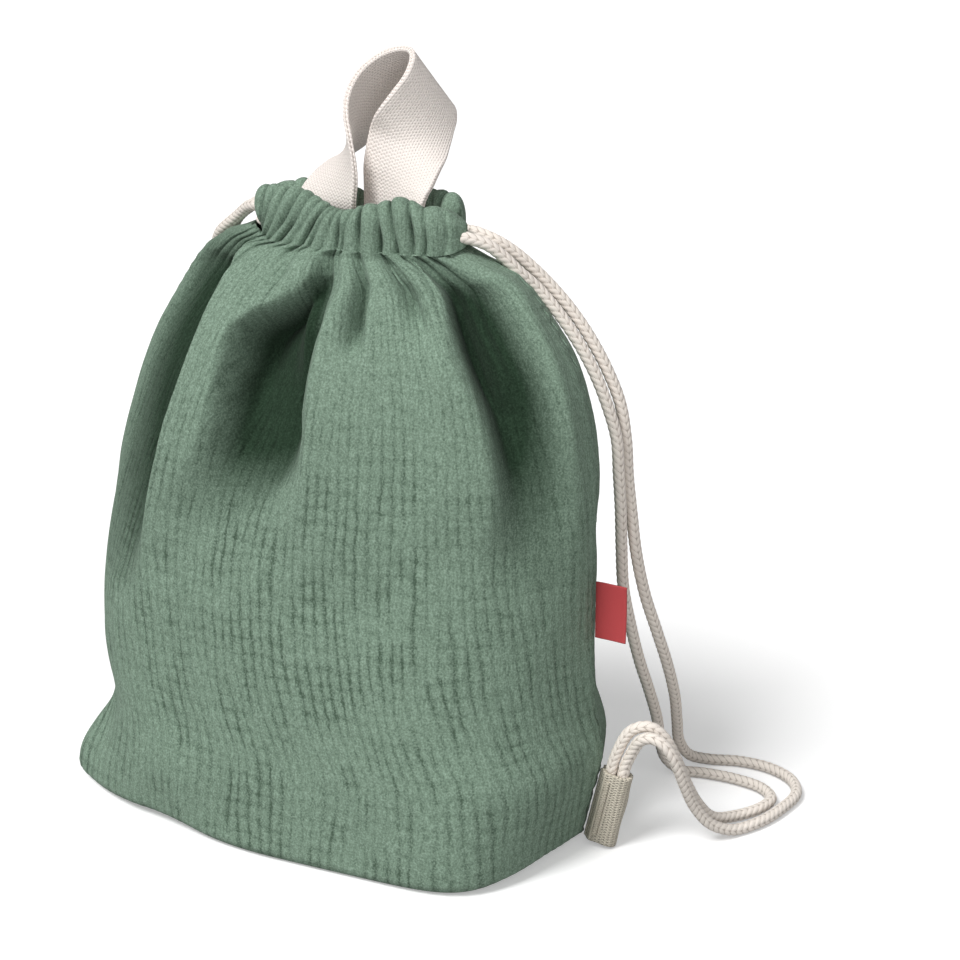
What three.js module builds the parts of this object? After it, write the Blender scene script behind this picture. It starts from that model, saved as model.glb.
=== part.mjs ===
// A child's drawstring backpack in crinkled cotton gauze: two panels sewn at the sides and the bottom,
// a gathered casing around the mouth, two cords that are both drawstring and shoulder strap, a webbing
// grab handle, a webbing tab at each lower corner that holds the cord ends, and a woven side label.
// Millimetres, +Z up, front towards -Y, standing on the floor at Z = 0.
import * as THREE from 'three';

// Cloth and clearances
const CLOTH = 2;                 // two layers of gauze
const SEAT = 0.3;                // gap left between pieces that touch
const SEAM_ALLOWANCE = 8;        // turned-in edge inside each seam
const BASE_ROUND = 9;            // radius where the walls turn under

// Mouth and casing
const NECK_HEIGHT = 287;         // floor to the stitch line under the casing
const NECK_LEFT = 55;            // gathered half-width of the mouth on each side
const NECK_RIGHT = 53;
const NECK_DEPTH = 10;           // how far the gathered mouth bows out at its middle
const MOUTH_SPLIT = 7;           // half the distance between the casings at the cord exits
const SPLIT_LENGTH = 30;         // the side seams stop this far below the casing
const CASING_HEIGHT = 20;
const CASING_THICK = 13;
const THREAD = 0.9;

// Panels: how far the filled bag reaches from below the neck's middle at its fullest
const BAG_LEFT = 150;
const BAG_RIGHT = 125;
const BAG_FRONT = 77;
const BAG_BACK = 70;
const LEFT_SEAM_BACK = 36;       // the left side seam lies this far towards the back
const SEAM_SWEEP = 6;            // the higher, the nearer to the left end the cloth turns back
const EAR_REACH = 11;            // how far the lower left corner pokes out
const EAR_HEIGHT = 10;           // its height above the floor
const EAR_SPREAD = 22;           // height over which it fades
const EAR_DIRECTION = new THREE.Vector3(-0.75, -0.65, 0);
const EAR_FRONT = { at: -0.9, width: 0.12, share: 1 };    // its place across the front panel
const EAR_BACK = { at: -1, width: 0.06, share: 0.5 };     // and across the back panel
const EDGE_FADE = 8;             // the folds die out this sharply towards the side seams

// Cord
const CORD = 5.8;
const CORD_SIDES = 8;
const LANE = CORD / 2 + SEAT;    // the two cords lie one above the other in the casing
const TURN_REACH = 4.5;          // how far each cord loops out of the far end of the casing
const TAB_GRIP = 24;             // length of cord held inside a tab

// Webbing
const WEBBING_WIDTH = 38;
const WEBBING = 2;
const TAIL_LENGTH = 26;          // handle end sewn inside the mouth
const TAIL_GAP = 2;              // between the two handle ends, side by side in the mouth
const CREASE = 0.6;              // webbing thickness at the line where the handle bends
const TAB_BOTTOM = 5;            // height of the tab's lower edge
const TAB_FLARE = 3;             // length over which the tab opens from the seam to the cords
const TAB_TURN_LEFT = 12;        // degrees the left tab leans towards the back
const BARTACK_WIDTH = 2.4;
const BARTACK_THICK = 0.8;
const BARTACK_SHARE = 0.8;       // of the webbing's width

// Label
const LABEL_LENGTH = 15;
const LABEL_HEIGHT = 28;
const LABEL_THICK = 1.2;
const LABEL_ROOT = 0.3;          // thickness at the seam, where it bends
const LABEL_BOTTOM = 108;

// Cross-sections of the filled bag, from the floor up: share of the neck height, shares of the reach to
// the left, right, front and back, squareness of the corners, and roundness of the edge.
const SECTIONS = [
  { at: 0.00, left: 1.000, right: 0.912, front: 1.000, back: 1.000, square: 9.0, round: 0.90 },
  { at: 0.06, left: 0.987, right: 0.936, front: 1.000, back: 1.000, square: 8.5, round: 0.90 },
  { at: 0.17, left: 0.953, right: 1.000, front: 0.987, back: 1.000, square: 6.5, round: 0.82 },
  { at: 0.25, left: 0.953, right: 0.968, front: 0.974, back: 0.986, square: 5.2, round: 0.75 },
  { at: 0.36, left: 0.960, right: 0.944, front: 0.948, back: 0.971, square: 4.2, round: 0.70 },
  { at: 0.52, left: 0.927, right: 0.944, front: 0.883, back: 0.943, square: 3.2, round: 0.62 },
  { at: 0.68, left: 0.853, right: 0.944, front: 0.805, back: 0.886, square: 2.7, round: 0.58 },
  { at: 0.82, left: 0.753, right: 0.864, front: 0.675, back: 0.771, square: 2.4, round: 0.56 },
  { at: 0.92, left: 0.627, right: 0.696, front: 0.506, back: 0.586, square: 2.2, round: 0.60 },
  { at: 0.965, left: 0.507, right: 0.552, front: 0.351, back: 0.386, square: 2.1, round: 0.70 },
  { at: 0.988, left: 0.400, right: 0.456, front: 0.175, back: 0.193, square: 2.0, round: 0.90 },
  {
    at: 1.00,
    left: NECK_LEFT / BAG_LEFT,
    right: NECK_RIGHT / BAG_RIGHT,
    front: NECK_DEPTH / BAG_FRONT,
    back: NECK_DEPTH / BAG_BACK,
    square: 2,
    round: 1,
  },
];

// Main folds that run down from the gathers: where each starts and dies out across its panel
// (-1 left edge, 1 right edge), how far it stands out or sinks in, its half-width and its length.
const FRONT_FOLDS = [
  { top: 0.02, foot: -0.50, depth: -13, width: 20, length: 120 },
  { top: -0.60, foot: -0.62, depth: 6, width: 17, length: 160 },
  { top: -0.85, foot: -0.85, depth: -5, width: 12, length: 150 },
  { top: 0.28, foot: 0.25, depth: 5, width: 25, length: 150 },
  { top: 0.77, foot: 0.83, depth: -9, width: 14, length: 115 },
];
const BACK_FOLDS = [
  { top: -0.30, foot: -0.52, depth: -10, width: 18, length: 125 },
  { top: 0.00, foot: 0.02, depth: 5, width: 22, length: 140 },
  { top: 0.34, foot: 0.46, depth: -11, width: 18, length: 130 },
  { top: 0.72, foot: 0.70, depth: 4, width: 16, length: 150 },
];

// Handle loop above the rim: place of the band's middle, rise above the rim, turn of the band's width
// from left-right towards front-back, and tilt of its width, in degrees. It makes half a turn in all.
const HANDLE = [
  { x: -16.5, y: 3.0, rise: 7, turn: -30, tilt: 2 },
  { x: -13.0, y: 6.5, rise: 14, turn: -47, tilt: 11 },
  { x: -10.5, y: 10.8, rise: 21.5, turn: -66, tilt: 24 },
  { x: -9.0, y: 15.5, rise: 28.5, turn: -80, tilt: 33 },
  { x: -5.5, y: 21.5, rise: 36, turn: -93, tilt: 40 },
  { x: 3.8, y: 27.3, rise: 43.5, turn: -101, tilt: 46 },
  { x: 12.3, y: 29.8, rise: 46.9, turn: -103, tilt: 47 },
  { x: 20.9, y: 29.0, rise: 47.9, turn: -105, tilt: 47 },
  { x: 26.0, y: 25.5, rise: 46.3, turn: -109, tilt: 46 },
  { x: 27.0, y: 20.5, rise: 41.5, turn: -117, tilt: 41 },
  { x: 26.2, y: 15.5, rise: 35, turn: -127, tilt: 36 },
  { x: 24.5, y: 11.2, rise: 27.8, turn: -145, tilt: 30 },
  { x: 22.2, y: 8.2, rise: 21, turn: -165, tilt: 22 },
  { x: 20.0, y: 5.8, rise: 14, turn: -180, tilt: 14 },
  { x: 18.8, y: 4.4, rise: 7, turn: -186, tilt: 5 },
];

// Free cord strands, from the casing exit to the tab: places along each one, with the exit and the run
// into the tab added from the pieces that hold it.
const RIGHT_FRONT_ROUTE = [
  [65, -2, 290.5], [71, 1.5, 285], [77, 5, 278], [84, 10, 270], [93, 13, 259], [102, 15, 246], [110, 17, 231],
  [116, 19, 215], [120, 21, 199], [121, 22, 182], [122, 23, 164], [122, 25, 146], [122, 29, 123],
  [124, 35, 101], [126, 43, 80], [128, 53, 60], [129, 63, 41], [128, 72, 24], [129, 80, 10],
  [136, 84, 3.3], [148, 86, 3.1], [164, 86, 3.1], [179, 82, 3.1], [187, 73, 3.1], [185, 61, 3.1],
  [176, 47, 3.6], [169, 34, 8], [164, 25, 19], [160, 17, 34], [157, 10, 49], [153.5, 6, 59], [149, 3.5, 64.5],
  [145, 2, 66], [141, 1, 65], [137.5, 0.5, 62.5], [134.5, 0.1, 58],
];
const RIGHT_BACK_ROUTE = [
  [65, 6.5, 291], [72, 10, 286], [79, 14, 279], [87, 18, 270], [96, 21, 259], [105, 23, 246], [113, 25, 231],
  [119, 27, 215], [122, 28, 197], [123, 29, 179], [125, 30, 160], [127, 32, 140], [130, 37, 118],
  [134, 44, 97], [137, 53, 76], [138, 63, 55], [136, 74, 36], [134, 85, 19], [137, 95, 7],
  [146, 102, 3.2], [160, 106, 3.1], [176, 105, 3.1], [190, 97, 3.1], [197, 83, 3.1], [195, 65, 3.1],
  [189, 47, 3.1], [180, 33, 3.8], [172, 23, 10], [166, 15, 22], [163, 7, 37], [161, 2, 48], [158.5, -1, 55.5],
  [154.5, -2.7, 61], [149, -3.4, 63], [144, -2.9, 60.5], [141, -1.6, 56],
];
const LEFT_FRONT_ROUTE = [
  [-66, -5, 300], [-74, -2, 297], [-82, 5, 291], [-90, 15, 282], [-97, 26, 271], [-102, 37, 256],
  [-105, 47, 238], [-107, 56, 218], [-109, 63, 196], [-111, 69, 172], [-113, 74, 146], [-115, 78, 120],
  [-116, 82, 94], [-117, 86, 68], [-116, 91, 44], [-113, 97, 23], [-106, 103, 8], [-95, 109, 3.2],
  [-85, 116, 3.1], [-81, 126, 3.1], [-89, 134.5, 3.1], [-103, 133.5, 3.1], [-118, 124, 3.1], [-131, 111, 3.3],
  [-141, 98, 7], [-148, 86, 16], [-152, 75, 30], [-153.7, 67, 43], [-153.3, 61, 54], [-152.3, 55, 61],
  [-151.3, 49, 63.5], [-150.4, 43, 61], [-149.8, 39, 55],
];
const LEFT_BACK_ROUTE = [
  [-66, 7, 299.5], [-73, 12, 296], [-80, 20, 288], [-87, 31, 277], [-93, 42, 263], [-97, 52, 246],
  [-99, 60, 226], [-101, 67, 204], [-102, 73, 180], [-103, 78, 154], [-104, 82, 128], [-105, 85, 102],
  [-105, 88, 76], [-104, 92, 52], [-101, 97, 29], [-94, 103, 11], [-83, 109, 3.4], [-72, 118, 3.1],
  [-69, 131, 3.1], [-77, 142, 3.1], [-92, 146, 3.1], [-110, 142, 3.1], [-127, 131, 3.1], [-141, 116, 3.3],
  [-151, 101, 7], [-158, 89, 17], [-162, 79, 31], [-163.3, 71, 45], [-162.3, 64, 57], [-160.6, 57, 64],
  [-158.8, 51, 66], [-157, 45, 63], [-156.2, 41, 57],
];

// Colours
const SAGE = 0x5b8270;
const COTTON = 0xd9d1c6;
const RED = 0xb8383d;

const RIM_HEIGHT = NECK_HEIGHT + CASING_HEIGHT;
const FRONT = -1;
const BACK = 1;
const object = new THREE.Group();

// A smooth bump, 1 at its middle
function bump(off, width) {
  return Math.exp(-((off / width) ** 2));
}

function add(name, geometry, color, roughness = 0.9) {
  const material = new THREE.MeshStandardMaterial({ color, roughness, metalness: 0 });
  const mesh = new THREE.Mesh(geometry, material);
  mesh.name = name;
  object.add(mesh);
  return mesh;
}

// A smooth curve through one value of a list of sections
function between(rows, key, at) {
  const last = rows.length - 1;
  let i = 0;
  while (i < last - 1 && at > rows[i + 1].at) i += 1;
  const slope = (k) => {
    const a = rows[Math.max(k - 1, 0)];
    const b = rows[Math.min(k + 1, last)];
    return (b[key] - a[key]) / (b.at - a.at);
  };
  const span = rows[i + 1].at - rows[i].at;
  const t = (at - rows[i].at) / span;
  const start = (1 + 2 * t) * (1 - t) ** 2 * rows[i][key] + t * (1 - t) ** 2 * span * slope(i);
  return start + t * t * (3 - 2 * t) * rows[i + 1][key] + t * t * (t - 1) * span * slope(i + 1);
}

// Reach of the bag to one side, in mm
const REACH = { left: BAG_LEFT, right: BAG_RIGHT, front: BAG_FRONT, back: BAG_BACK };

function reach(way, at) {
  return REACH[way] * between(SECTIONS, way, at);
}

// The middle of the cloth without folds. across runs from -1 at the left seam to 1 at the right seam.
function outline(side, across, height, inset = 0) {
  const at = Math.min(height / NECK_HEIGHT, 1);
  const left = reach('left', at) - inset;
  const right = reach('right', at) - inset;
  const depth = reach(side === FRONT ? 'front' : 'back', at) - inset;
  const fullness = Math.max(1 - Math.abs(across) ** between(SECTIONS, 'square', at), 0);
  const bulge = depth * fullness ** between(SECTIONS, 'round', at);
  const split = THREE.MathUtils.smoothstep(height, NECK_HEIGHT - SPLIT_LENGTH, NECK_HEIGHT);
  const edge = THREE.MathUtils.lerp(SEAT / 2, MOUTH_SPLIT, split);
  const toLeft = ((1 - across) / 2) ** SEAM_SWEEP;
  const point = new THREE.Vector3((right - left) / 2 + ((right + left) / 2) * across, 0, height);
  point.y = side * (edge + bulge) + LEFT_SEAM_BACK * toLeft * Math.min(2 * (1 - at), 1);
  const ear = side === FRONT ? EAR_FRONT : EAR_BACK;
  const spread = ear.share * bump(across - ear.at, ear.width);
  return point.addScaledVector(EAR_DIRECTION, EAR_REACH * spread * bump(height - EAR_HEIGHT, EAR_SPREAD));
}

// Outward direction of the cloth, level where it matters for the folds
function outward(side, across, height) {
  const step = 0.01;
  const a = outline(side, Math.max(across - step, -1), height);
  const b = outline(side, Math.min(across + step, 1), height);
  return new THREE.Vector3(b.y - a.y, a.x - b.x, 0).multiplyScalar(-side).normalize();
}

// A fold swells to its full depth a quarter of the way down and then fades
function foldStrength(down) {
  const swell = (share) => Math.sqrt(share) * (1 - share) ** 1.5;
  return swell(down) / swell(0.25);
}

function foldHeight(side, across, height) {
  const at = height / NECK_HEIGHT;
  const half = (reach('left', at) + reach('right', at)) / 2;
  const edgeFade = 1 - across ** EDGE_FADE;
  let total = 0;
  for (const fold of side === FRONT ? FRONT_FOLDS : BACK_FOLDS) {
    const down = (NECK_HEIGHT - height) / fold.length;
    if (down <= 0 || down >= 1) continue;
    const off = (across - THREE.MathUtils.lerp(fold.top, fold.foot, down)) * half;
    const width = fold.width * THREE.MathUtils.lerp(0.6, 1.4, down);
    total += fold.depth * foldStrength(down) * bump(off, width);
  }
  return total * edgeFade;
}

function cloth(side, across, height, inset = 0) {
  const point = outline(side, across, height, inset);
  const lift = foldHeight(side, across, height);
  return point.addScaledVector(outward(side, across, height), lift);
}

// The seam line between the panels, on the middle of the cloth
function seam(across, height) {
  return outline(FRONT, across, height).add(outline(BACK, across, height)).multiplyScalar(0.5);
}

// A closed solid from rings of points, each ring in the same order, with both ends capped
function loft(rings) {
  const sides = rings[0].length;
  const positions = rings.flat().flatMap((p) => [p.x, p.y, p.z]);
  const index = [];
  for (let i = 0; i + 1 < rings.length; i += 1) {
    for (let k = 0; k < sides; k += 1) {
      const a = i * sides + k;
      const b = i * sides + ((k + 1) % sides);
      index.push(a, b, b + sides, a, b + sides, a + sides);
    }
  }
  const end = (rings.length - 1) * sides;
  for (let k = 1; k + 1 < sides; k += 1) {
    index.push(0, k + 1, k);
    index.push(end, end + k, end + k + 1);
  }
  return solid(positions, index);
}

function solid(positions, index) {
  const geometry = new THREE.BufferGeometry();
  geometry.setAttribute('position', new THREE.Float32BufferAttribute(positions, 3));
  geometry.setIndex(index);
  geometry.computeVertexNormals();
  return geometry;
}

// A sheet of cloth with thickness, from a grid of points and outward directions
function sheet(points, normals, thickness, flip) {
  const rows = points.length;
  const columns = points[0].length;
  const positions = [];
  for (const sign of [0.5, -0.5]) {
    for (let i = 0; i < rows; i += 1) {
      for (let j = 0; j < columns; j += 1) {
        const p = points[i][j].clone().addScaledVector(normals[i][j], sign * thickness);
        positions.push(p.x, p.y, p.z);
      }
    }
  }
  const inner = rows * columns;
  const index = [];
  const quad = (a, b, c, d) => {
    const corners = flip ? [a, d, c, b] : [a, b, c, d];
    for (const [p, q, r] of [[0, 1, 2], [0, 2, 3]]) {
      const triangle = [corners[p], corners[q], corners[r]];
      const keys = triangle.map((k) => positions.slice(3 * k, 3 * k + 3).map((v) => v.toFixed(5)).join());
      if (new Set(keys).size === 3) index.push(...triangle);
    }
  };
  const at = (i, j) => i * columns + j;
  for (let i = 0; i + 1 < rows; i += 1) {
    for (let j = 0; j + 1 < columns; j += 1) {
      quad(at(i, j), at(i, j + 1), at(i + 1, j + 1), at(i + 1, j));
      quad(inner + at(i, j), inner + at(i + 1, j), inner + at(i + 1, j + 1), inner + at(i, j + 1));
    }
  }
  for (let j = 0; j + 1 < columns; j += 1) {
    quad(at(0, j), inner + at(0, j), inner + at(0, j + 1), at(0, j + 1));
    const top = rows - 1;
    quad(at(top, j), at(top, j + 1), inner + at(top, j + 1), inner + at(top, j));
  }
  for (let i = 0; i + 1 < rows; i += 1) {
    quad(at(i, 0), at(i + 1, 0), inner + at(i + 1, 0), inner + at(i, 0));
    const end = columns - 1;
    quad(at(i, end), inner + at(i, end), inner + at(i + 1, end), at(i + 1, end));
  }
  return solid(positions, index);
}

// Front and back panels: half of the base, the rounded turn, and the wall up to the stitch line
const PANEL_COLUMNS = 24;
const BASE_STEPS = [0, 0.45, 0.8];
const ROUND_STEPS = [0, 0.33, 0.67, 1];
const WALL_STEPS = [0.08, 0.125, 0.17, 0.25, 0.36, 0.46, 0.55, 0.64, 0.71, 0.77, 0.825, 0.87, 0.905, 0.94,
  0.97, 1];

function panel(side) {
  const points = [];
  const floor = CLOTH / 2;
  const columns = Array.from({ length: PANEL_COLUMNS + 1 }, (_, j) => (
    -Math.cos((Math.PI * j) / PANEL_COLUMNS)));
  for (const share of BASE_STEPS) {
    points.push(columns.map((across) => {
      const foot = cloth(side, across, floor, BASE_ROUND);
      const middle = seam(across, floor).y + (side * SEAT) / 2;
      foot.y = THREE.MathUtils.lerp(middle, foot.y, share);
      return foot;
    }));
  }
  for (const step of ROUND_STEPS) {
    const angle = (step * Math.PI) / 2;
    const height = floor + BASE_ROUND * (1 - Math.cos(angle));
    points.push(columns.map((across) => cloth(side, across, height, BASE_ROUND * (1 - Math.sin(angle)))));
  }
  for (const share of WALL_STEPS) {
    const height = share * NECK_HEIGHT - (share === 1 ? SEAT : 0);
    points.push(columns.map((across) => cloth(side, across, height)));
  }
  const normals = points.map((row, i) => row.map((_, j) => panelNormal(points, i, j, side)));
  return sheet(points, normals, CLOTH, side === BACK);
}

function panelNormal(points, i, j, side) {
  const last = points[0].length - 1;
  const atEdge = j === 0 || j === last;
  const outwardX = j === 0 ? -1 : 1;
  const onBase = i <= BASE_STEPS.length;
  if (atEdge && onBase) return new THREE.Vector3(outwardX, 0, -1).normalize();
  if (i < BASE_STEPS.length) return new THREE.Vector3(0, 0, -1);
  const rowBelow = points[Math.max(i - 1, 0)];
  const rowAbove = points[Math.min(i + 1, points.length - 1)];
  const up = rowAbove[j].clone().sub(rowBelow[j]);
  const along = points[i][Math.min(j + 1, last)].clone().sub(points[i][Math.max(j - 1, 0)]);
  const normal = along.cross(up).multiplyScalar(-side);
  if (atEdge) normal.set(outwardX * Math.abs(normal.x), 0, normal.z);
  if (i === points.length - 1) normal.z = 0;
  return normal.normalize();
}

add('front_panel', panel(FRONT), SAGE);
add('back_panel', panel(BACK), SAGE);

// Casings: a flattened sleeve along the top of each panel, open at both ends for the cords
const CASING_STEPS = 16;
const CASING_SIDES = 10;

// A place in a casing: across from -1 to 1, off its middle line outwards and upwards
function inCasing(side, across, out, up) {
  const middle = outline(side, across, NECK_HEIGHT);
  middle.z = NECK_HEIGHT + CASING_HEIGHT / 2 + up;
  return middle.addScaledVector(outward(side, across, NECK_HEIGHT), out);
}

function casingRing(side, across, wall) {
  return Array.from({ length: CASING_SIDES }, (_, k) => {
    const angle = (2 * Math.PI * k) / CASING_SIDES;
    const out = (CASING_THICK / 2 - wall) * Math.cos(angle);
    const up = (CASING_HEIGHT / 2 - wall) * Math.sin(angle);
    return inCasing(side, across, out, up);
  });
}

function casing(side) {
  const steps = Array.from({ length: CASING_STEPS + 1 }, (_, i) => -1 + (2 * i) / CASING_STEPS);
  const outer = steps.map((across) => casingRing(side, across, 0));
  const inner = steps.map((across) => casingRing(side, across, CLOTH));
  const positions = [...outer, ...inner].flat().flatMap((p) => [p.x, p.y, p.z]);
  const start = outer.length * CASING_SIDES;
  const index = [];
  const quad = (a, b, c, d) => index.push(...(side === FRONT ? [a, b, c, a, c, d] : [a, d, c, a, c, b]));
  for (let k = 0; k < CASING_SIDES; k += 1) {
    const next = (k + 1) % CASING_SIDES;
    for (let i = 0; i < CASING_STEPS; i += 1) {
      const a = i * CASING_SIDES;
      const b = a + CASING_SIDES;
      quad(a + k, b + k, b + next, a + next);
      quad(start + a + k, start + a + next, start + b + next, start + b + k);
    }
    const end = CASING_STEPS * CASING_SIDES;
    quad(k, next, start + next, start + k);
    quad(end + k, start + end + k, start + end + next, end + next);
  }
  return solid(positions, index);
}

add('front_casing', casing(FRONT), SAGE);
add('back_casing', casing(BACK), SAGE);

// A round cord or thread along a smooth curve
function cordAlong(points, diameter, steps, sides) {
  const path = new THREE.CatmullRomCurve3(points, false, 'centripetal');
  const section = new THREE.Shape(Array.from({ length: sides }, (_, k) => {
    const angle = (2 * Math.PI * k) / sides;
    return new THREE.Vector2(Math.cos(angle), Math.sin(angle)).multiplyScalar(diameter / 2);
  }));
  return new THREE.ExtrudeGeometry(section, { steps, extrudePath: path, bevelEnabled: false });
}

// The thread row that closes each casing, on the outside just above the panel's top edge
const THREAD_STEPS = 30;
const THREAD_SIDES = 4;

function casingThread(side) {
  const places = [-0.96, -0.7, -0.4, -0.1, 0.2, 0.5, 0.75, 0.96];
  const points = places.map((across) => {
    const middle = outline(side, across, NECK_HEIGHT);
    middle.z = NECK_HEIGHT - SEAT;
    return middle.addScaledVector(outward(side, across, NECK_HEIGHT), CLOTH / 2 + 2 * (SEAT + THREAD));
  });
  return cordAlong(points, THREAD, THREAD_STEPS, THREAD_SIDES);
}

add('front_casing_thread', casingThread(FRONT), SAGE);
add('back_casing_thread', casingThread(BACK), SAGE);

// Seam allowances: the turned-in edges of both panels, sewn together inside each seam
function allowance(start, inwardAt, steps) {
  const rings = steps.map((step) => {
    const root = start(step);
    const inward = inwardAt(step);
    const tip = root.clone().addScaledVector(inward, SEAM_ALLOWANCE);
    const flat = CLOTH / 2;
    return [[root, -flat], [root, flat], [tip, flat], [tip, -flat]].map(([p, off]) => (
      new THREE.Vector3(p.x, p.y + off, p.z)));
  });
  return rings;
}

function sideSeam(across) {
  const steps = WALL_STEPS.slice(1, -5);
  const inward = new THREE.Vector3(-across, 0, 0);
  const rings = allowance((share) => (
    seam(across, share * NECK_HEIGHT).addScaledVector(inward, CLOTH / 2 + 2 * SEAT)), () => inward, steps);
  return loft(across > 0 ? rings : rings.map((ring) => ring.toReversed()));
}

function bottomSeam() {
  const steps = [-0.84, -0.6, -0.3, 0, 0.3, 0.6, 0.84];
  const up = new THREE.Vector3(0, 0, 1);
  const rings = allowance((across) => {
    const root = seam(across, CLOTH / 2);
    root.z = CLOTH + SEAT;
    return root;
  }, () => up, steps);
  return loft(rings);
}

add('right_side_seam', sideSeam(1), SAGE);
add('left_side_seam', sideSeam(-1), SAGE);
add('bottom_seam', bottomSeam(), SAGE);

// Webbing handle: two sewn ends flat against the inside of the back casing, and the loop above the rim
const TAIL_SPACING = WEBBING_WIDTH + TAIL_GAP;
const TAIL_EDGE = (TAIL_SPACING + WEBBING_WIDTH) / 2;
const HANDLE_STEPS = 3;

function mouthFaceAt(x) {
  const across = (x - (NECK_RIGHT - NECK_LEFT) / 2) / ((NECK_LEFT + NECK_RIGHT) / 2);
  return outline(BACK, across, NECK_HEIGHT).y - CASING_THICK / 2;
}

const TAIL_Y = Math.min(mouthFaceAt(TAIL_EDGE), mouthFaceAt(-TAIL_EDGE)) - SEAT - WEBBING / 2;

function bandRing(middle, turn, tilt, along, thickness) {
  const level = Math.cos(tilt);
  const width = new THREE.Vector3(Math.cos(turn) * level, Math.sin(turn) * level, Math.sin(tilt));
  const face = new THREE.Vector3().crossVectors(along, width).normalize();
  const ring = [[-1, -1], [1, -1], [1, 1], [-1, 1]];
  return ring.map(([w, f]) => middle.clone()
    .addScaledVector(width, (w * WEBBING_WIDTH) / 2)
    .addScaledVector(face, (f * thickness) / 2));
}

function handleLoop() {
  const foot = (x, turn) => ({ x, y: TAIL_Y, rise: SEAT / 2, turn, tilt: 0 });
  const above = (x, turn) => ({ x, y: TAIL_Y, rise: WEBBING, turn, tilt: 0 });
  const half = TAIL_SPACING / 2;
  const rows = [foot(-half, 0), above(-half, 0), ...HANDLE, above(half, -180), foot(half, -180)];
  const places = rows.map((row) => new THREE.Vector3(row.x, row.y, RIM_HEIGHT + row.rise));
  const middle = new THREE.CatmullRomCurve3(places);
  const angles = new THREE.CatmullRomCurve3(rows.map((row) => new THREE.Vector3(row.turn, row.tilt, 0)));
  const steps = HANDLE_STEPS * (rows.length - 1);
  const rings = Array.from({ length: steps + 1 }, (_, i) => {
    const t = i / steps;
    const angle = angles.getPoint(t).multiplyScalar(Math.PI / 180);
    const atCrease = i === 0 || i === steps;
    const along = atCrease ? new THREE.Vector3(0, 0, i === 0 ? 1 : -1) : middle.getTangent(t);
    return bandRing(middle.getPoint(t), angle.x, angle.y, along, atCrease ? CREASE : WEBBING);
  });
  return loft(rings);
}

function handleTail(x) {
  const tail = new THREE.BoxGeometry(WEBBING_WIDTH, WEBBING, TAIL_LENGTH);
  return tail.translate(x, TAIL_Y, RIM_HEIGHT - SEAT / 2 - TAIL_LENGTH / 2);
}

function handleBartack(x) {
  const bar = new THREE.BoxGeometry(WEBBING_WIDTH * BARTACK_SHARE, BARTACK_THICK, BARTACK_WIDTH);
  const y = TAIL_Y - WEBBING / 2 - SEAT - BARTACK_THICK / 2;
  return bar.translate(x, y, RIM_HEIGHT - TAIL_LENGTH + BARTACK_WIDTH);
}

add('handle_loop', handleLoop(), COTTON);
for (const [hand, sign] of [['left', -1], ['right', 1]]) {
  const x = (sign * TAIL_SPACING) / 2;
  add(`handle_${hand}_tail`, handleTail(x), COTTON);
  add(`handle_${hand}_bartack`, handleBartack(x), COTTON);
}

// Cord tabs: webbing folded around the two cord ends and sewn into the lower end of each side seam
const TAB_HALF = CORD / 2 + SEAT + WEBBING;
const INNER_CORD = TAB_FLARE + CORD / 4;
const OUTER_CORD = INNER_CORD + CORD + SEAT;

const TAB_ARC_STEPS = 6;

function tabProfile() {
  const root = WEBBING + SEAT / 2;
  const profile = new THREE.Shape();
  profile.moveTo(0, -root);
  profile.lineTo(TAB_FLARE, -TAB_HALF);
  profile.lineTo(OUTER_CORD, -TAB_HALF);
  profile.absarc(OUTER_CORD, 0, TAB_HALF, -Math.PI / 2, Math.PI / 2, false);
  profile.lineTo(TAB_FLARE, TAB_HALF);
  profile.lineTo(0, root);
  profile.lineTo(0, root - WEBBING);
  profile.lineTo(TAB_FLARE, TAB_HALF - WEBBING);
  profile.lineTo(OUTER_CORD, TAB_HALF - WEBBING);
  profile.absarc(OUTER_CORD, 0, TAB_HALF - WEBBING, Math.PI / 2, -Math.PI / 2, true);
  profile.lineTo(TAB_FLARE, WEBBING - TAB_HALF);
  profile.lineTo(0, WEBBING - root);
  return profile;
}

// The tab's own frame: up along the seam, out away from the bag, flat across its thickness
function tabFrame(across, towardsBack) {
  const low = seam(across, TAB_BOTTOM);
  const high = seam(across, TAB_BOTTOM + WEBBING_WIDTH);
  const up = high.clone().sub(low).normalize();
  const out = new THREE.Vector3(across * Math.cos(towardsBack), Math.sin(towardsBack), 0);
  out.addScaledVector(up, -out.dot(up)).normalize();
  const flat = new THREE.Vector3().crossVectors(up, out);
  const fullest = Math.max(...[0, 0.25, 0.5, 0.75, 1].map((share) => (
    seam(across, TAB_BOTTOM + share * WEBBING_WIDTH).sub(low).dot(out))));
  const origin = low.addScaledVector(out, fullest + CLOTH / 2 + SEAT);
  return { origin, up, out, flat };
}

function tabPlace(frame, out, flat, up) {
  return frame.origin.clone()
    .addScaledVector(frame.out, out)
    .addScaledVector(frame.flat, flat)
    .addScaledVector(frame.up, up);
}

function tabMesh(name, frame) {
  const geometry = new THREE.ExtrudeGeometry(tabProfile(),
    { depth: WEBBING_WIDTH, bevelEnabled: false, curveSegments: TAB_ARC_STEPS });
  const place = new THREE.Matrix4().makeBasis(frame.out, frame.flat, frame.up).setPosition(frame.origin);
  add(name, geometry.applyMatrix4(place), COTTON);
}

function tabBartack(name, frame) {
  const bar = new THREE.BoxGeometry(BARTACK_WIDTH, BARTACK_THICK, WEBBING_WIDTH * BARTACK_SHARE);
  bar.translate(TAB_FLARE + BARTACK_WIDTH, -TAB_HALF - SEAT - BARTACK_THICK / 2, WEBBING_WIDTH / 2);
  const place = new THREE.Matrix4().makeBasis(frame.out, frame.flat, frame.up).setPosition(frame.origin);
  add(name, bar.applyMatrix4(place), COTTON);
}

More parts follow.
